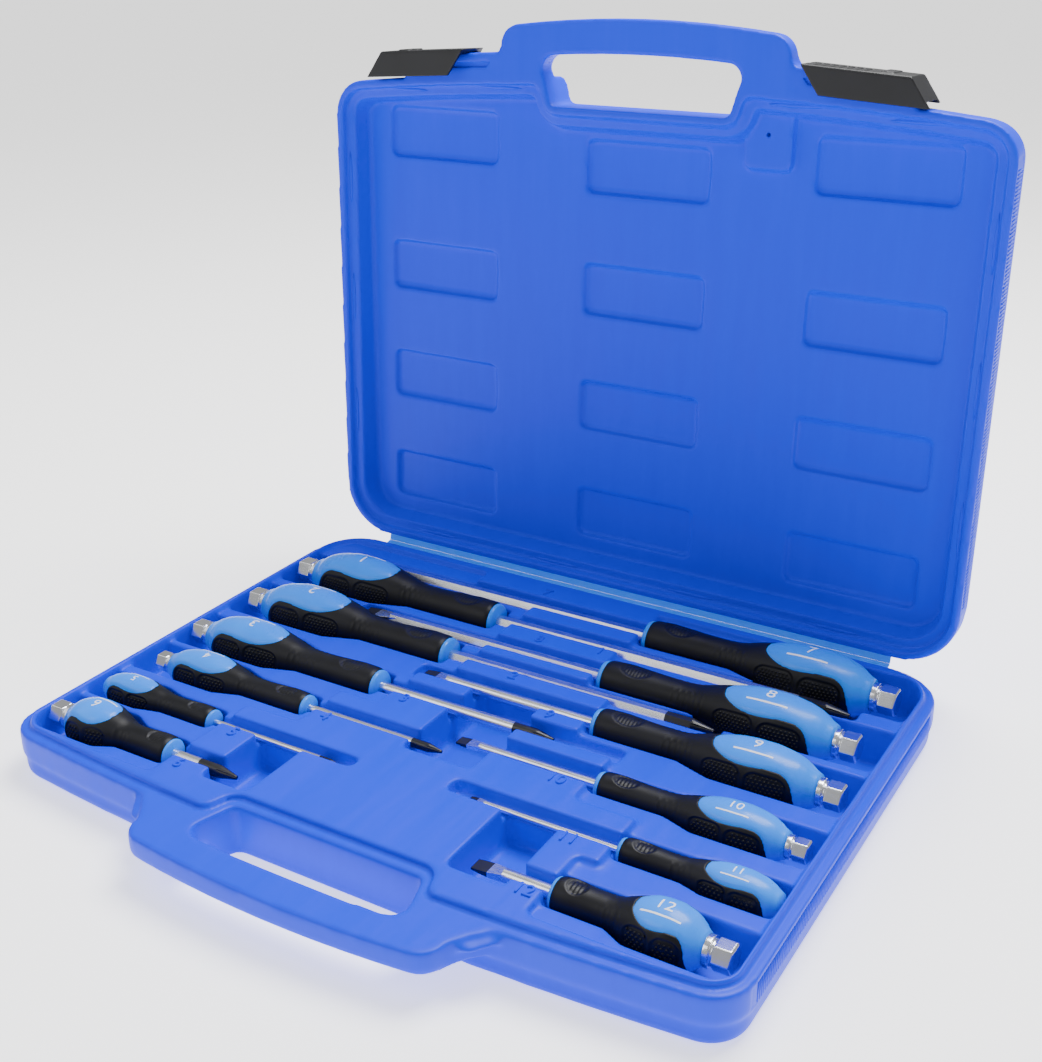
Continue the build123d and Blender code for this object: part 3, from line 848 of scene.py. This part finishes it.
    def build_ribs(self) -> None:
        """Rib the outer sides of both rim bands, where the mould is knurled."""
        side_x = self.half_width - self.rib_sizes_mm[0] / 2 * MM
        base_z = self.lid.hinge_z - self.rib_middle
        ribs = RepeatedFeatures(Feature.RIB, self.materials.shell, self.rib_sizes_mm)
        count = int((self.rib_end - self.rib_start) / self.rib_pitch)
        stations = [self.rib_start + index * self.rib_pitch for index in range(count)]
        for body in ("base", "lid"):
            places, outwards, alongs = [], [], []
            for side in (-1, 1):
                for v in stations:
                    if body == "base":
                        places.append(Vector((side * side_x, self.half_depth - v, base_z)))
                        outwards.append(Vector((0, 0, 1)))
                    else:
                        places.append(self.lid.point(side * side_x, v, self.rib_middle))
                        outwards.append(self.lid.into)
                    alongs.append(Vector((side, 0, 0)))
            piece = ribs.build(f"{body}_rim_ribs", places, outwards, alongs)
            dress(piece, self.materials.shell, body, "blue_shell")

    def build_beads(self) -> None:
        """Set the low oblong beads along the ledge inside the lid's rim."""
        beads = RepeatedFeatures(Feature.BEAD, self.materials.shell, self.bead_sizes_mm)
        spots = []
        for u in self.bead_top:
            bow = self.front_bow * (u / self.half_width) ** 2
            spots += [(side * u, self.case_depth - bow - self.bead_inset, False) for side in (-1, 1)]
        spots += [(u, self.bead_inset, False) for u in self.bead_low]
        for v in self.bead_sides:
            spots += [(side * (self.half_width - self.bead_inset), v, True) for side in (-1, 1)]
        places = [self.lid.point(u, v, self.bead_depth) for u, v, _ in spots]
        alongs = [self.lid.up if upright else Vector((1, 0, 0)) for _, _, upright in spots]
        piece = beads.build("lid_ledge_beads", places, [-self.lid.into] * len(places), alongs)
        dress(piece, self.materials.shell, "lid", "blue_shell")


def catmull(points: Sequence[tuple[float, float]], at: float) -> float:
    """Smooth curve through points, by cubic Hermite spans with monotone-safe slopes.

    Args:
        points: Pairs of position and value, in order of position.
        at: Position to read.

    Returns:
        The value there.
    """
    if at <= points[0][0]:
        return points[0][1]
    if at >= points[-1][0]:
        return points[-1][1]
    spans = [(b[0] - a[0], (b[1] - a[1]) / (b[0] - a[0])) for a, b in zip(points, points[1:])]
    slopes = [spans[0][1]]
    for (_, before), (_, after) in zip(spans, spans[1:]):
        slopes.append(0.0 if before * after <= 0 else 2 * before * after / (before + after))
    slopes.append(spans[-1][1])
    index = max(i for i in range(len(spans)) if points[i][0] <= at)
    width = spans[index][0]
    share = (at - points[index][0]) / width
    start, end = points[index][1], points[index + 1][1]
    return (start * (2 * share ** 3 - 3 * share ** 2 + 1)
            + slopes[index] * width * (share ** 3 - 2 * share ** 2 + share)
            + end * (3 * share ** 2 - 2 * share ** 3)
            + slopes[index + 1] * width * (share ** 3 - share ** 2))


def rise(span: tuple[float, float], values: np.ndarray) -> np.ndarray:
    """Smooth step from 0 at a span's start to 1 at its end, over an array."""
    share = np.clip((values - span[0]) / (span[1] - span[0]), 0.0, 1.0)
    return share * share * (3 - 2 * share)


@lru_cache(maxsize=None)
def curve_table(points: tuple[tuple[float, float], ...]) -> tuple[np.ndarray, np.ndarray]:
    """Positions and values of the smooth curve through points, worked out once."""
    grid = np.linspace(points[0][0], points[-1][0], 600)
    return grid, np.array([catmull(points, float(x)) for x in grid])


def sampled(points: tuple[tuple[float, float], ...], at: np.ndarray) -> np.ndarray:
    """Smooth curve through points, read over an array."""
    return np.interp(at, *curve_table(points))


@dataclass
class Screwdriver:
    """One screwdriver, whose handle is drawn round the axis that its frame nodes give."""

    name: str
    number: int
    side: Side
    frame: dict
    materials: Materials
    # A handle is small below this radius, and its neck's radius is a share of the swell's
    small_radius: float = 0.011
    small_neck: float = 0.60
    large_neck: float = 0.535
    # Radius along the handle, as shares of the neck and of the swell
    profile: tuple = (
        (0.0, 0.94, 0.0), (0.012, 1.05, 0.0), (0.05, 1.12, 0.0), (0.12, 1.15, 0.0), (0.20, 1.10, 0.0),
        (0.28, 1.05, 0.0), (0.36, 1.03, 0.0), (0.42, 1.02, 0.03), (0.50, 0.72, 0.33), (0.58, 0.30, 0.69),
        (0.66, 0.06, 0.93), (0.72, 0.0, 0.99), (0.78, 0.0, 0.99), (0.86, 0.0, 0.92), (0.92, 0.0, 0.80),
        (0.962, 0.0, 0.64), (0.966, 0.0, 0.615), (1.0, 0.0, 0.50),
    )
    # Half angle of the window on top, in radians, along the handle
    window: tuple = (
        (0.549, 0.0), (0.556, 0.28), (0.572, 0.48), (0.603, 0.67), (0.645, 0.81), (0.70, 0.865),
        (0.755, 0.845), (0.81, 0.79), (0.855, 0.78), (0.885, 0.86), (0.908, 1.04), (0.924, 1.38),
        (0.934, 1.90), (0.941, 3.3),
    )
    # Hard core: how far it lies inside the handle's form, sinks under the grip and swells in the window
    core_step_mm: float = 1.0
    core_around: int = 112
    core_inset_mm: float = 0.45
    core_sink_mm: float = 1.0
    core_sink_span_mm: tuple = (0.2, 1.8)
    core_crown_mm: float = 0.35
    core_crown_span_mm: tuple = (0.0, 2.0)
    # Soft grip: where it starts and ends, and how its edge dives into the core and its front is rounded
    step_mm: float = 0.5
    around: int = 176
    grip_ends: tuple = (0.008, 0.97)
    ring_share: float = 0.016
    grip_inset_mm: float = 0.15
    grip_dive_mm: float = 1.5
    grip_edge_span_mm: tuple = (-0.35, 0.45)
    shoulder_mm: float = 0.9
    shoulder_length_mm: float = 2.4
    # Dotted pads: middle share, middle angle, half length share, half angle
    pads: tuple = ((0.621, 1.37, 0.088, 0.44), (0.814, 1.42, 0.086, 0.43))
    pad_corner: float = 0.72
    pad_lip_mm: float = 0.16
    pad_lip_span_mm: tuple = (-1.0, -0.2)
    pad_depth_mm: float = 0.85
    pad_wall_span_mm: tuple = (-0.2, 0.5)
    pad_floor_mm: float = 0.15
    pad_floor_span_mm: tuple = (0.7, 1.3)
    dot_pitch_mm: float = 2.0
    dot_sizes_mm: tuple = (1.3, 1.3, 1.15)
    dot_rows: int = 8
    dot_pad_margin_mm: float = 1.15
    dot_edge_margin_mm: float = 1.2
    # Low rings on both sides of the neck
    neck_ring_mm: float = 0.24
    neck_ring_pitch_mm: float = 3.3
    neck_ring_starts: tuple = (0.32, 0.35)
    neck_ring_ends: tuple = (0.47, 0.50)
    neck_ring_angles: tuple = ((0.35, 0.7), (1.5, 1.8))
    # Hatched dish for the thumb
    thumb_share: float = 0.155
    thumb_half_share: float = 0.07
    thumb_half_angle: float = 0.62
    thumb_edge: tuple = (0.75, 1.1)
    thumb_depth_mm: float = 0.95
    hatch_mm: float = 0.30
    hatch_pitch_mm: float = 1.75
    # Number and rule printed on the window, sized on the largest handle
    number_size: float = 0.0102
    number_radius: float = 0.0175
    number_share: float = 0.735
    print_half_depth_mm: float = 0.05
    print_rise_mm: float = 0.04
    print_cuts_mm: tuple = (0.6, 1.2)
    rule_length: float = 2.1
    rule_width: float = 0.1
    rule_drop: float = 0.66
    # Blade: rounding of its ground edges, and the black tip's length in shank radii
    blade_edge_mm: float = 0.12
    blade_edge_steps: int = 2
    blade_edge_deg: float = 25
    blade_flat_deg: float = 0.6
    slotted_tip: float = 2.6
    cross_tip: float = 7.2
    cap_voxel_mm: float = 0.28
    cap_passes: int = 5
    cap_triangles: int = 12000

    def __post_init__(self) -> None:
        """Read the handle's axis and sizes from the frame."""
        low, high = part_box(f"{self.name}_core")
        blade_low, blade_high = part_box(f"{self.name}_blade")
        grip_low, grip_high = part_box(f"{self.name}_grip")
        self.has_cap = f"{self.name}_cap" in self.frame["nodes"]
        self.length = high.x - low.x
        self.front_x = low.x if self.side is Side.RIGHT else high.x
        self.axis_y = (grip_low.y + grip_high.y) / 2
        self.radius = (grip_high.y - grip_low.y) / 2
        self.axis_z = grip_low.z + self.radius
        self.shank = (blade_high.z - blade_low.z) / 2
        self.neck = self.radius * (self.small_neck if self.radius < self.small_radius else self.large_neck)

    def body_radius(self, share: np.ndarray) -> np.ndarray:
        """Radius of the handle's form.

        Args:
            share: Shares of the handle's length.

        Returns:
            The radius at each, in metres.
        """
        neck = sampled(tuple((p[0], p[1]) for p in self.profile), share)
        swell = sampled(tuple((p[0], p[2]) for p in self.profile), share)
        return neck * self.neck + swell * self.radius

    def grip_depth(self, share: np.ndarray, angle: np.ndarray) -> np.ndarray:
        """Distance inside the soft grip's edge.

        Args:
            share: Shares of the handle's length.
            angle: Turns from the handle's top, in radians.

        Returns:
            The distance at each in metres, negative where the hard core shows.
        """
        edge = sampled(self.window, share)
        step = 0.003
        slope = (sampled(self.window, share + step) - sampled(self.window, share - step)) / (2 * step)
        lean = slope / self.length * self.radius
        from_window = (np.abs(angle) - edge) * self.radius / np.sqrt(1 + lean * lean)
        # In front of the window only the ring at the handle's end bounds the grip
        from_window = np.where(share < self.window[0][0], 0.02, from_window)
        return np.minimum(from_window, (share - self.ring_share) * self.length)

    def pad_inside(self, share: np.ndarray, angle: np.ndarray) -> np.ndarray:
        """Distance inside the edge of the nearest dotted pad.

        Args:
            share: Shares of the handle's length.
            angle: Turns from the handle's top, in radians.

        Returns:
            The distance at each in metres, negative outside the pads.
        """
        best = np.full(np.broadcast(share, angle).shape, -1.0)
        for middle, centre, half_share, half_angle in self.pads:
            half_long, half_wide = half_share * self.length, half_angle * self.radius
            along = (share - middle) * self.length
            across = (np.abs(angle) - centre) * self.radius
            corner = self.pad_corner * half_wide
            out_long = np.maximum(np.abs(along) - (half_long - corner), 0.0)
            out_wide = np.maximum(np.abs(across) - (half_wide - corner), 0.0)
            best = np.maximum(best, corner - np.hypot(out_long, out_wide))
        return best

    def surface(self, name: str, radius_at: Callable, ends: tuple[float, float], step_mm: float,
                around: int) -> bpy.types.Object:
        """Skin a closed form round the handle's axis.

        Args:
            name: Name of the new piece.
            radius_at: Radius in metres from arrays of length share and angle.
            ends: Shares of the length where the form starts and ends.
            step_mm: Spacing of the rings along the handle.
            around: Points in each ring.

        Returns:
            The new piece.
        """
        start, end = ends
        rings = max(12, int((end - start) * self.length / (step_mm * MM)))
        share, angle = np.meshgrid(
            np.linspace(start, end, rings + 1), math.pi * (2 * np.arange(around) / around - 1), indexing="ij")
        radius = radius_at(share, angle)
        points = np.stack([
            self.front_x + self.side.value * share * self.length,
            self.axis_y + radius * np.sin(angle),
            self.axis_z + radius * np.cos(angle)], axis=-1).reshape(-1, 3)
        poles = [(self.front_x + self.side.value * s * self.length, self.axis_y, self.axis_z) for s in ends]
        here = np.arange(rings * around)
        after = np.where((here + 1) % around == 0, here + 1 - around, here + 1)
        faces = np.stack([here, after, after + around, here + around], axis=-1).tolist()
        for first, pole in ((0, len(points)), (rings * around, len(points) + 1)):
            faces += [(first + turn, first + (turn + 1) % around, pole) for turn in range(around)]
        mesh = bpy.data.meshes.new(name)
        mesh.from_pydata(points.tolist() + poles, [], faces)
        shade_smooth(face_outwards(mesh))
        return mesh_object(name, mesh)

    def core_radius(self, share: np.ndarray, angle: np.ndarray) -> np.ndarray:
        """Radius of the hard core: full where it shows, and sunk under the grip.

        Args:
            share: Shares of the handle's length.
            angle: Turns from the handle's top, in radians.

        Returns:
            The radius at each, in metres.
        """
        depth_mm = self.grip_depth(share, angle) / MM
        sunk = self.core_sink_mm * rise(self.core_sink_span_mm, depth_mm)
        crown = self.core_crown_mm * rise(self.core_crown_span_mm, -depth_mm)
        return self.body_radius(share) + (crown - sunk - self.core_inset_mm) * MM

    def grip_radius(self, share: np.ndarray, angle: np.ndarray) -> np.ndarray:
        """Radius of the soft grip: proud of the core, and below it where the core shows.

        Args:
            share: Shares of the handle's length.
            angle: Turns from the handle's top, in radians.

        Returns:
            The radius at each, in metres.
        """
        along_mm = share * self.length / MM
        turn = np.abs(angle)
        edge = rise(self.grip_edge_span_mm, self.grip_depth(share, angle) / MM)
        inside = self.pad_inside(share, angle) / MM
        pads = (self.pad_lip_mm * rise(self.pad_lip_span_mm, inside)
                - self.pad_depth_mm * rise(self.pad_wall_span_mm, inside)
                + self.pad_floor_mm * rise(self.pad_floor_span_mm, inside))
        rings = rise(self.neck_ring_starts, share) * (1 - rise(self.neck_ring_ends, share))
        rings = rings * rise(self.neck_ring_angles[0], turn) * (1 - rise(self.neck_ring_angles[1], turn))
        rings = rings * (0.5 - 0.5 * np.cos(math.tau * along_mm / self.neck_ring_pitch_mm)) ** 3
        from_front = (share - self.ring_share) * self.length / (self.shoulder_length_mm * MM)
        shoulder = 1 - np.sqrt(np.clip(from_front, 0.0, 1.0))
        reach = np.hypot((share - self.thumb_share) / self.thumb_half_share, angle / self.thumb_half_angle)
        hatch = 0.5 + 0.5 * np.cos(math.tau * along_mm / self.hatch_pitch_mm)
        dish = (1 - rise(self.thumb_edge, reach)) * (self.thumb_depth_mm - self.hatch_mm * hatch)
        lift = edge * (pads + self.neck_ring_mm * rings) - self.grip_dive_mm * (1 - edge)
        lift = lift - self.shoulder_mm * shoulder - dish - self.grip_inset_mm
        return self.body_radius(share) + lift * MM

    def dot_places(self) -> tuple[list[Vector], list[Vector]]:
        """Set out the raised dots on the pads, in staggered rows.

        Returns:
            The dots' places and their outward directions.
        """
        places, outwards = [], []
        pitch = self.dot_pitch_mm * MM
        counts = range(-self.dot_rows, self.dot_rows + 1)
        for middle, centre, half_share, half_angle in self.pads:
            half_long, half_wide = half_share * self.length, half_angle * self.radius
            for row, column in ((row, column) for row in counts for column in counts):
                across = row * pitch * math.sqrt(0.75)
                along = (column + 0.5 * (row % 2)) * pitch
                if abs(along) > half_long or abs(across) > half_wide:
                    continue
                share = middle + along / self.length
                for hand in (-1, 1):
                    angle = hand * (centre + across / self.radius)
                    spot = np.array([share]), np.array([angle])
                    in_pad = self.pad_inside(*spot)[0] >= self.dot_pad_margin_mm * MM
                    if in_pad and self.grip_depth(*spot)[0] >= self.dot_edge_margin_mm * MM:
                        reach = float(self.grip_radius(*spot)[0])
                        places.append(self.place(share * self.length, angle, reach))
                        outwards.append(Vector((0.0, math.sin(angle), math.cos(angle))))
        return places, outwards

    def place(self, along: float, angle: float, radius: float) -> Vector:
        """Point on or in the handle.

        Args:
            along: Distance along the handle from its front.
            angle: Turn from its top, in radians.
            radius: Distance from its axis.

        Returns:
            The point.
        """
        return Vector((self.front_x + self.side.value * along,
                       self.axis_y + radius * math.sin(angle),
                       self.axis_z + radius * math.cos(angle)))

    def build(self, dots: RepeatedFeatures) -> None:
        """Build and dress every piece of the screwdriver.

        Args:
            dots: What sets a dot on each of the pads' places.
        """
        core = self.surface(
            f"{self.name}_core_moulded", self.core_radius, (0.0, 1.0), self.core_step_mm, self.core_around)
        dress(core, self.materials.core, self.name, "handle_core", f"{self.name}_core")
        grip = self.surface(
            f"{self.name}_grip_moulded", self.grip_radius, self.grip_ends, self.step_mm, self.around)
        dress(grip, self.materials.grip, self.name, "soft_grip", f"{self.name}_grip")
        places, outwards = self.dot_places()
        texture = dots.build(f"{self.name}_grip_dots", places, outwards, [Vector((1, 0, 0))] * len(places))
        dress(texture, self.materials.grip, self.name, "soft_grip")
        self.build_print()
        self.dress_blade()
        if self.has_cap:
            cap = moulded_copy(
                self.frame["nodes"][f"{self.name}_cap"], f"{self.name}_cap_turned",
                self.cap_voxel_mm, self.cap_passes, self.cap_triangles)
            dress(cap, self.materials.cap, self.name, "cap_steel", f"{self.name}_cap")
        LOG.info("%s: %d grip faces, %d dots", self.name, len(grip.data.polygons), len(places))

    def build_print(self) -> None:
        """Print the pocket's plain number and a rule under it on the window, in white."""
        size = self.number_size * (self.radius / self.number_radius)
        glyph = text_mesh(f"{self.name}_number", str(self.number), size, self.print_half_depth_mm * MM)
        work = bmesh.new()
        work.from_mesh(glyph)
        rule = Vector((size * self.rule_length, size * self.rule_width, 2 * self.print_half_depth_mm * MM))
        for vert in bmesh.ops.create_cube(work, size=1.0)["verts"]:
            vert.co = vert.co * rule - Vector((0.0, size * self.rule_drop, 0.0))
        # Cut across both ways, so that the flat number can bend round the window
        half = size * 1.2
        for way, step_mm in zip(((0, 1, 0), (1, 0, 0)), self.print_cuts_mm):
            for index in range(int(2 * half / (step_mm * MM)) + 1):
                geometry = work.verts[:] + work.edges[:] + work.faces[:]
                at = Vector(way) * (index * step_mm * MM - half)
                bmesh.ops.bisect_plane(work, geom=geometry, plane_co=at, plane_no=way)
        for vert in work.verts:
            along = self.number_share * self.length + vert.co.x
            angle = self.side.value * vert.co.y / self.radius
            spot = np.array([along / self.length]), np.array([angle])
            reach = float(self.core_radius(*spot)[0]) + self.print_rise_mm * MM + vert.co.z
            vert.co = self.place(along, angle, reach)
        mesh = bpy.data.meshes.new(f"{self.name}_window_print")
        work.to_mesh(mesh)
        work.free()
        bpy.data.meshes.remove(glyph)
        piece = mesh_object(mesh.name, face_outwards(mesh))
        dress(piece, self.materials.ink, self.name, "handle_core")

    def ground_blade(self, node: bpy.types.Object) -> bpy.types.Object:
        """Copy a blade, clean its triangles and round its edges a little, as grinding leaves them.

        Args:
            node: The frame's own object, which is left alone.

        Returns:
            The new piece.
        """
        work = bmesh.new()
        work.from_mesh(node.data)
        bmesh.ops.remove_doubles(work, verts=work.verts, dist=MERGE_DISTANCE)
        bmesh.ops.dissolve_limit(
            work, angle_limit=math.radians(self.blade_flat_deg), verts=work.verts, edges=work.edges)
        mesh = bpy.data.meshes.new(f"{self.name}_blade_ground")
        work.to_mesh(mesh)
        work.free()
        shade_smooth(mesh)
        piece = mesh_object(mesh.name, mesh)
        bevel = piece.modifiers.new("rounding", "BEVEL")
        bevel.width = self.blade_edge_mm * MM
        bevel.segments = self.blade_edge_steps
        bevel.limit_method = "ANGLE"
        bevel.angle_limit = math.radians(self.blade_edge_deg)
        bevel.harden_normals = True
        bevel.miter_outer = "MITER_ARC"
        return freeze(piece)

    def dress_blade(self) -> None:
        """Round the blade's edges and part its black tip from its plated shank."""
        node = self.frame["nodes"][f"{self.name}_blade"]
        blade = self.ground_blade(node)
        dress(blade, self.materials.steel, self.name, "blade_steel", node.name)
        blade.data.materials.append(self.materials.oxide)
        low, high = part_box(node.name)
        tip_x = low.x if self.side is Side.RIGHT else high.x
        tip_length = self.slotted_tip if self.name.startswith("slot") else self.cross_tip
        border = tip_x + self.side.value * tip_length * self.shank
        work = bmesh.new()
        work.from_mesh(blade.data)
        everything = work.verts[:] + work.edges[:] + work.faces[:]
        bmesh.ops.bisect_plane(work, geom=everything, plane_co=(border, 0, 0), plane_no=(1, 0, 0))
        for face in work.faces:
            beyond = (border - face.calc_center_median().x) * self.side.value > 0
            face.material_index = 1 if beyond else 0
            face.smooth = True
        work.to_mesh(blade.data)
        work.free()
        facets = blade.modifiers.new("facets", "WEIGHTED_NORMAL")
        facets.mode = "FACE_AREA"
        freeze(blade)


def text_mesh(name: str, words: str, size: float, half_depth: float) -> bpy.types.Mesh:
    """Closed mesh of a plain number, centred, lying in the XY plane.

    Args:
        name: Name of the mesh.
        words: The number.
        size: Height of the type.
        half_depth: Half of the number's thickness.

    Returns:
        The mesh.
    """
    curve = bpy.data.curves.new(name, "FONT")
    curve.body = words
    curve.size = size
    curve.extrude = half_depth
    curve.align_x = "CENTER"
    curve.align_y = "CENTER"
    curve.resolution_u = 4
    holder = bpy.data.objects.new(name, curve)
    bpy.context.scene.collection.objects.link(holder)
    graph = bpy.context.evaluated_depsgraph_get()
    graph.update()
    mesh = bpy.data.meshes.new_from_object(holder.evaluated_get(graph))
    bpy.data.objects.remove(holder)
    bpy.data.curves.remove(curve)
    return face_outwards(mesh, 0.001 * MM)


@dataclass
class PocketNumbers:
    """Plain numbers raised in the tray beside each blade, on the nearest flat that can hold one."""

    frame: dict
    material: bpy.types.Material
    size: float = 0.0095
    half_depth: float = 0.0006
    sunk_share: float = 0.4
    # A flat has this much room across and more along, is level to this and stands above this height
    clear: float = 0.0045
    clear_stretch: float = 1.4
    flatness: float = 0.0001
    lowest: float = 0.024
    probe_height: float = 0.2
    # Places tried along each blade and beside it, and what each step, row and the far side count against one
    step: float = 0.002
    steps: int = 30
    row: float = 0.001
    rows: tuple = (8, 24)
    row_cost: float = 0.002
    behind_cost: float = 0.004

    def __post_init__(self) -> None:
        """Make the tray ready to be probed from above."""
        self.tray = probe(self.frame["nodes"]["base_shell"])

    def level(self, x: float, y: float) -> float:
        """Height of the tray at a place, seen from above."""
        point, _, _, _ = self.tray.ray_cast(Vector((x, y, self.probe_height)), Vector((0, 0, -1)))
        return point.z if point else 0.0

    def flat_spot(self, x: float, y: float) -> Optional[float]:
        """Height of a flat place with room for a number.

        Args:
            x: The place across the case.
            y: The place from front to back.

        Returns:
            The height, or None where there is no room.
        """
        across, along = self.clear, self.clear * self.clear_stretch
        marks = [self.level(x + dx * along, y + dy * across) for dx in (-1, 0, 1) for dy in (-1, 0, 1)]
        middle = marks[len(marks) // 2]
        return middle if max(marks) - min(marks) < self.flatness and middle > self.lowest else None

    def build(self, tools: Sequence[Screwdriver]) -> None:
        """Raise a number for every screwdriver.

        Args:
            tools: The screwdrivers, whose blades the numbers stand beside.
        """
        work = bmesh.new()
        for tool in tools:
            low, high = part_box(f"{tool.name}_blade")
            middle = (low.x + high.x) / 2
            spots = []
            for step in range(-self.steps, self.steps + 1):
                for row in range(*self.rows):
                    for way in (-1, 1):
                        x, y = middle + step * self.step, tool.axis_y + way * row * self.row
                        behind = self.behind_cost if way > 0 else 0
                        spots.append((abs(step) * self.step + row * self.row_cost + behind, x, y))
            for _, x, y in sorted(spots):
                height = self.flat_spot(x, y)
                if height is None:
                    continue
                glyph = text_mesh(f"{tool.name}_mark", str(tool.number), self.size, self.half_depth)
                glyph.transform(Matrix.Translation((x, y, height + self.half_depth * self.sunk_share)))
                work.from_mesh(glyph)
                bpy.data.meshes.remove(glyph)
                break
        mesh = bpy.data.meshes.new("pocket_numbers")
        work.to_mesh(mesh)
        work.free()
        piece = mesh_object("pocket_numbers", mesh)
        dress(piece, self.material, "base", "blue_shell")


@dataclass
class Studio:
    """Plain pale floor, soft light and the camera."""

    floor_half: float = 40.0
    floor_colour: str = "#f6f6f6"
    floor_roughness: float = 0.9
    floor_glow: float = 1.25
    sky_strength: float = 0.42
    white: tuple = (1.0, 1.0, 1.0, 1.0)
    # Soft boxes: name, place, target, side and power
    soft_boxes: tuple = (
        ("key_softbox", (-0.5, -0.8, 0.9), (0.0, -0.05, 0.05), 0.6, 3.0),
        ("fill_softbox", (-1.1, -0.3, 0.8), (0.0, 0.0, 0.05), 0.7, 1.6),
        ("top_softbox", (0.2, 0.5, 1.3), (0.0, 0.0, 0.05), 0.8, 38),
    )
    camera_place: tuple = (0.3356, -0.5143, 0.3901)
    yaw_deg: float = 31.18
    pitch_deg: float = -22.318
    roll_deg: float = 0.597
    focal_px: float = 1444.7
    centre_px: tuple = (522.29, 494.01)
    frame_px: tuple = (1042, 1062)
    sensor_mm: float = 36.0
    nearest: float = 0.01

    def build(self) -> None:
        """Build the floor, the lights and the camera."""
        self.build_floor()
        self.build_lights()
        self.build_camera()

    def build_floor(self) -> None:
        """Lay the floor just under the case."""
        half = self.floor_half
        mesh = bpy.data.meshes.new("floor")
        corners = [(-half, -half, 0), (half, -half, 0), (half, half, 0), (-half, half, 0)]
        mesh.from_pydata(corners, [], [(0, 1, 2, 3)])
        floor = mesh_object("floor", mesh)
        # Paper: matt and near white, lit a little from within so that it stays pale
        paper = Surface("matt_white_paper")
        paper.set({"Base Color": linear(self.floor_colour), "Roughness": self.floor_roughness,
                   "Emission Color": self.white, "Emission Strength": self.floor_glow})
        mesh.materials.append(paper.material)

    def build_lights(self) -> None:
        """Place the soft studio lights and the pale surround."""
        world = bpy.data.worlds.new("surround")
        world.use_nodes = True
        background = world.node_tree.nodes["Background"]
        background.inputs["Color"].default_value = self.white
        background.inputs["Strength"].default_value = self.sky_strength
        bpy.context.scene.world = world
        for name, place, target, side, power in self.soft_boxes:
            data = bpy.data.lights.new(name, "AREA")
            data.size = side
            data.energy = power
            lamp = bpy.data.objects.new(name, data)
            bpy.context.scene.collection.objects.link(lamp)
            lamp.location = place
            lamp.rotation_euler = (Vector(target) - Vector(place)).to_track_quat("-Z", "Y").to_euler()

    def build_camera(self) -> None:
        """Set the camera at the photograph's viewing angle."""
        data = bpy.data.cameras.new("camera")
        data.sensor_fit = "AUTO"
        data.sensor_width = self.sensor_mm
        longest = max(self.frame_px)
        data.lens = self.focal_px * self.sensor_mm / longest
        data.shift_x = (self.frame_px[0] / 2 - self.centre_px[0]) / longest
        data.shift_y = (self.centre_px[1] - self.frame_px[1] / 2) / longest
        data.clip_start = self.nearest
        camera = bpy.data.objects.new("camera", data)
        bpy.context.scene.collection.objects.link(camera)
        yaw, pitch, roll = (math.radians(a) for a in (self.yaw_deg, self.pitch_deg, self.roll_deg))
        # Columns of the turn are right, forward and up
        turn = Matrix.Rotation(yaw, 3, "Z") @ Matrix.Rotation(pitch, 3, "X") @ Matrix.Rotation(roll, 3, "Y")
        right, forward, up = turn.col[0], turn.col[1], turn.col[2]
        pose = Matrix((right, up, -forward)).transposed().to_4x4()
        pose.translation = Vector(self.camera_place)
        camera.matrix_world = pose
        bpy.context.scene.camera = camera


@dataclass
class ScrewdriverSet:
    """The twelve screwdrivers that the tray holds."""

    frame: dict
    materials: Materials

    def build(self) -> list[Screwdriver]:
        """Build each screwdriver in turn, numbered as they lie.

        Returns:
            The screwdrivers, in that order.
        """
        dots = RepeatedFeatures(Feature.DOME, self.materials.grip, Screwdriver.dot_sizes_mm)
        made = []
        names = [body for body in self.frame["bodies"] if f"{body}_blade" in self.frame["nodes"]]
        for number, body in enumerate(names, start=1):
            low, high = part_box(f"{body}_core")
            side = Side.LEFT if low.x + high.x < 0 else Side.RIGHT
            tool = Screwdriver(body, number, side, self.frame, self.materials)
            tool.build(dots)
            made.append(tool)
        return made


def main() -> None:
    """Build everything round the frame."""
    logging.basicConfig(level=logging.INFO, format="%(message)s")
    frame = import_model()
    materials = Materials()
    CaseShells(frame, materials).build()
    tools = ScrewdriverSet(frame, materials).build()
    PocketNumbers(frame, materials.shell).build(tools)
    Studio().build()


if __name__ == "__main__":
    main()
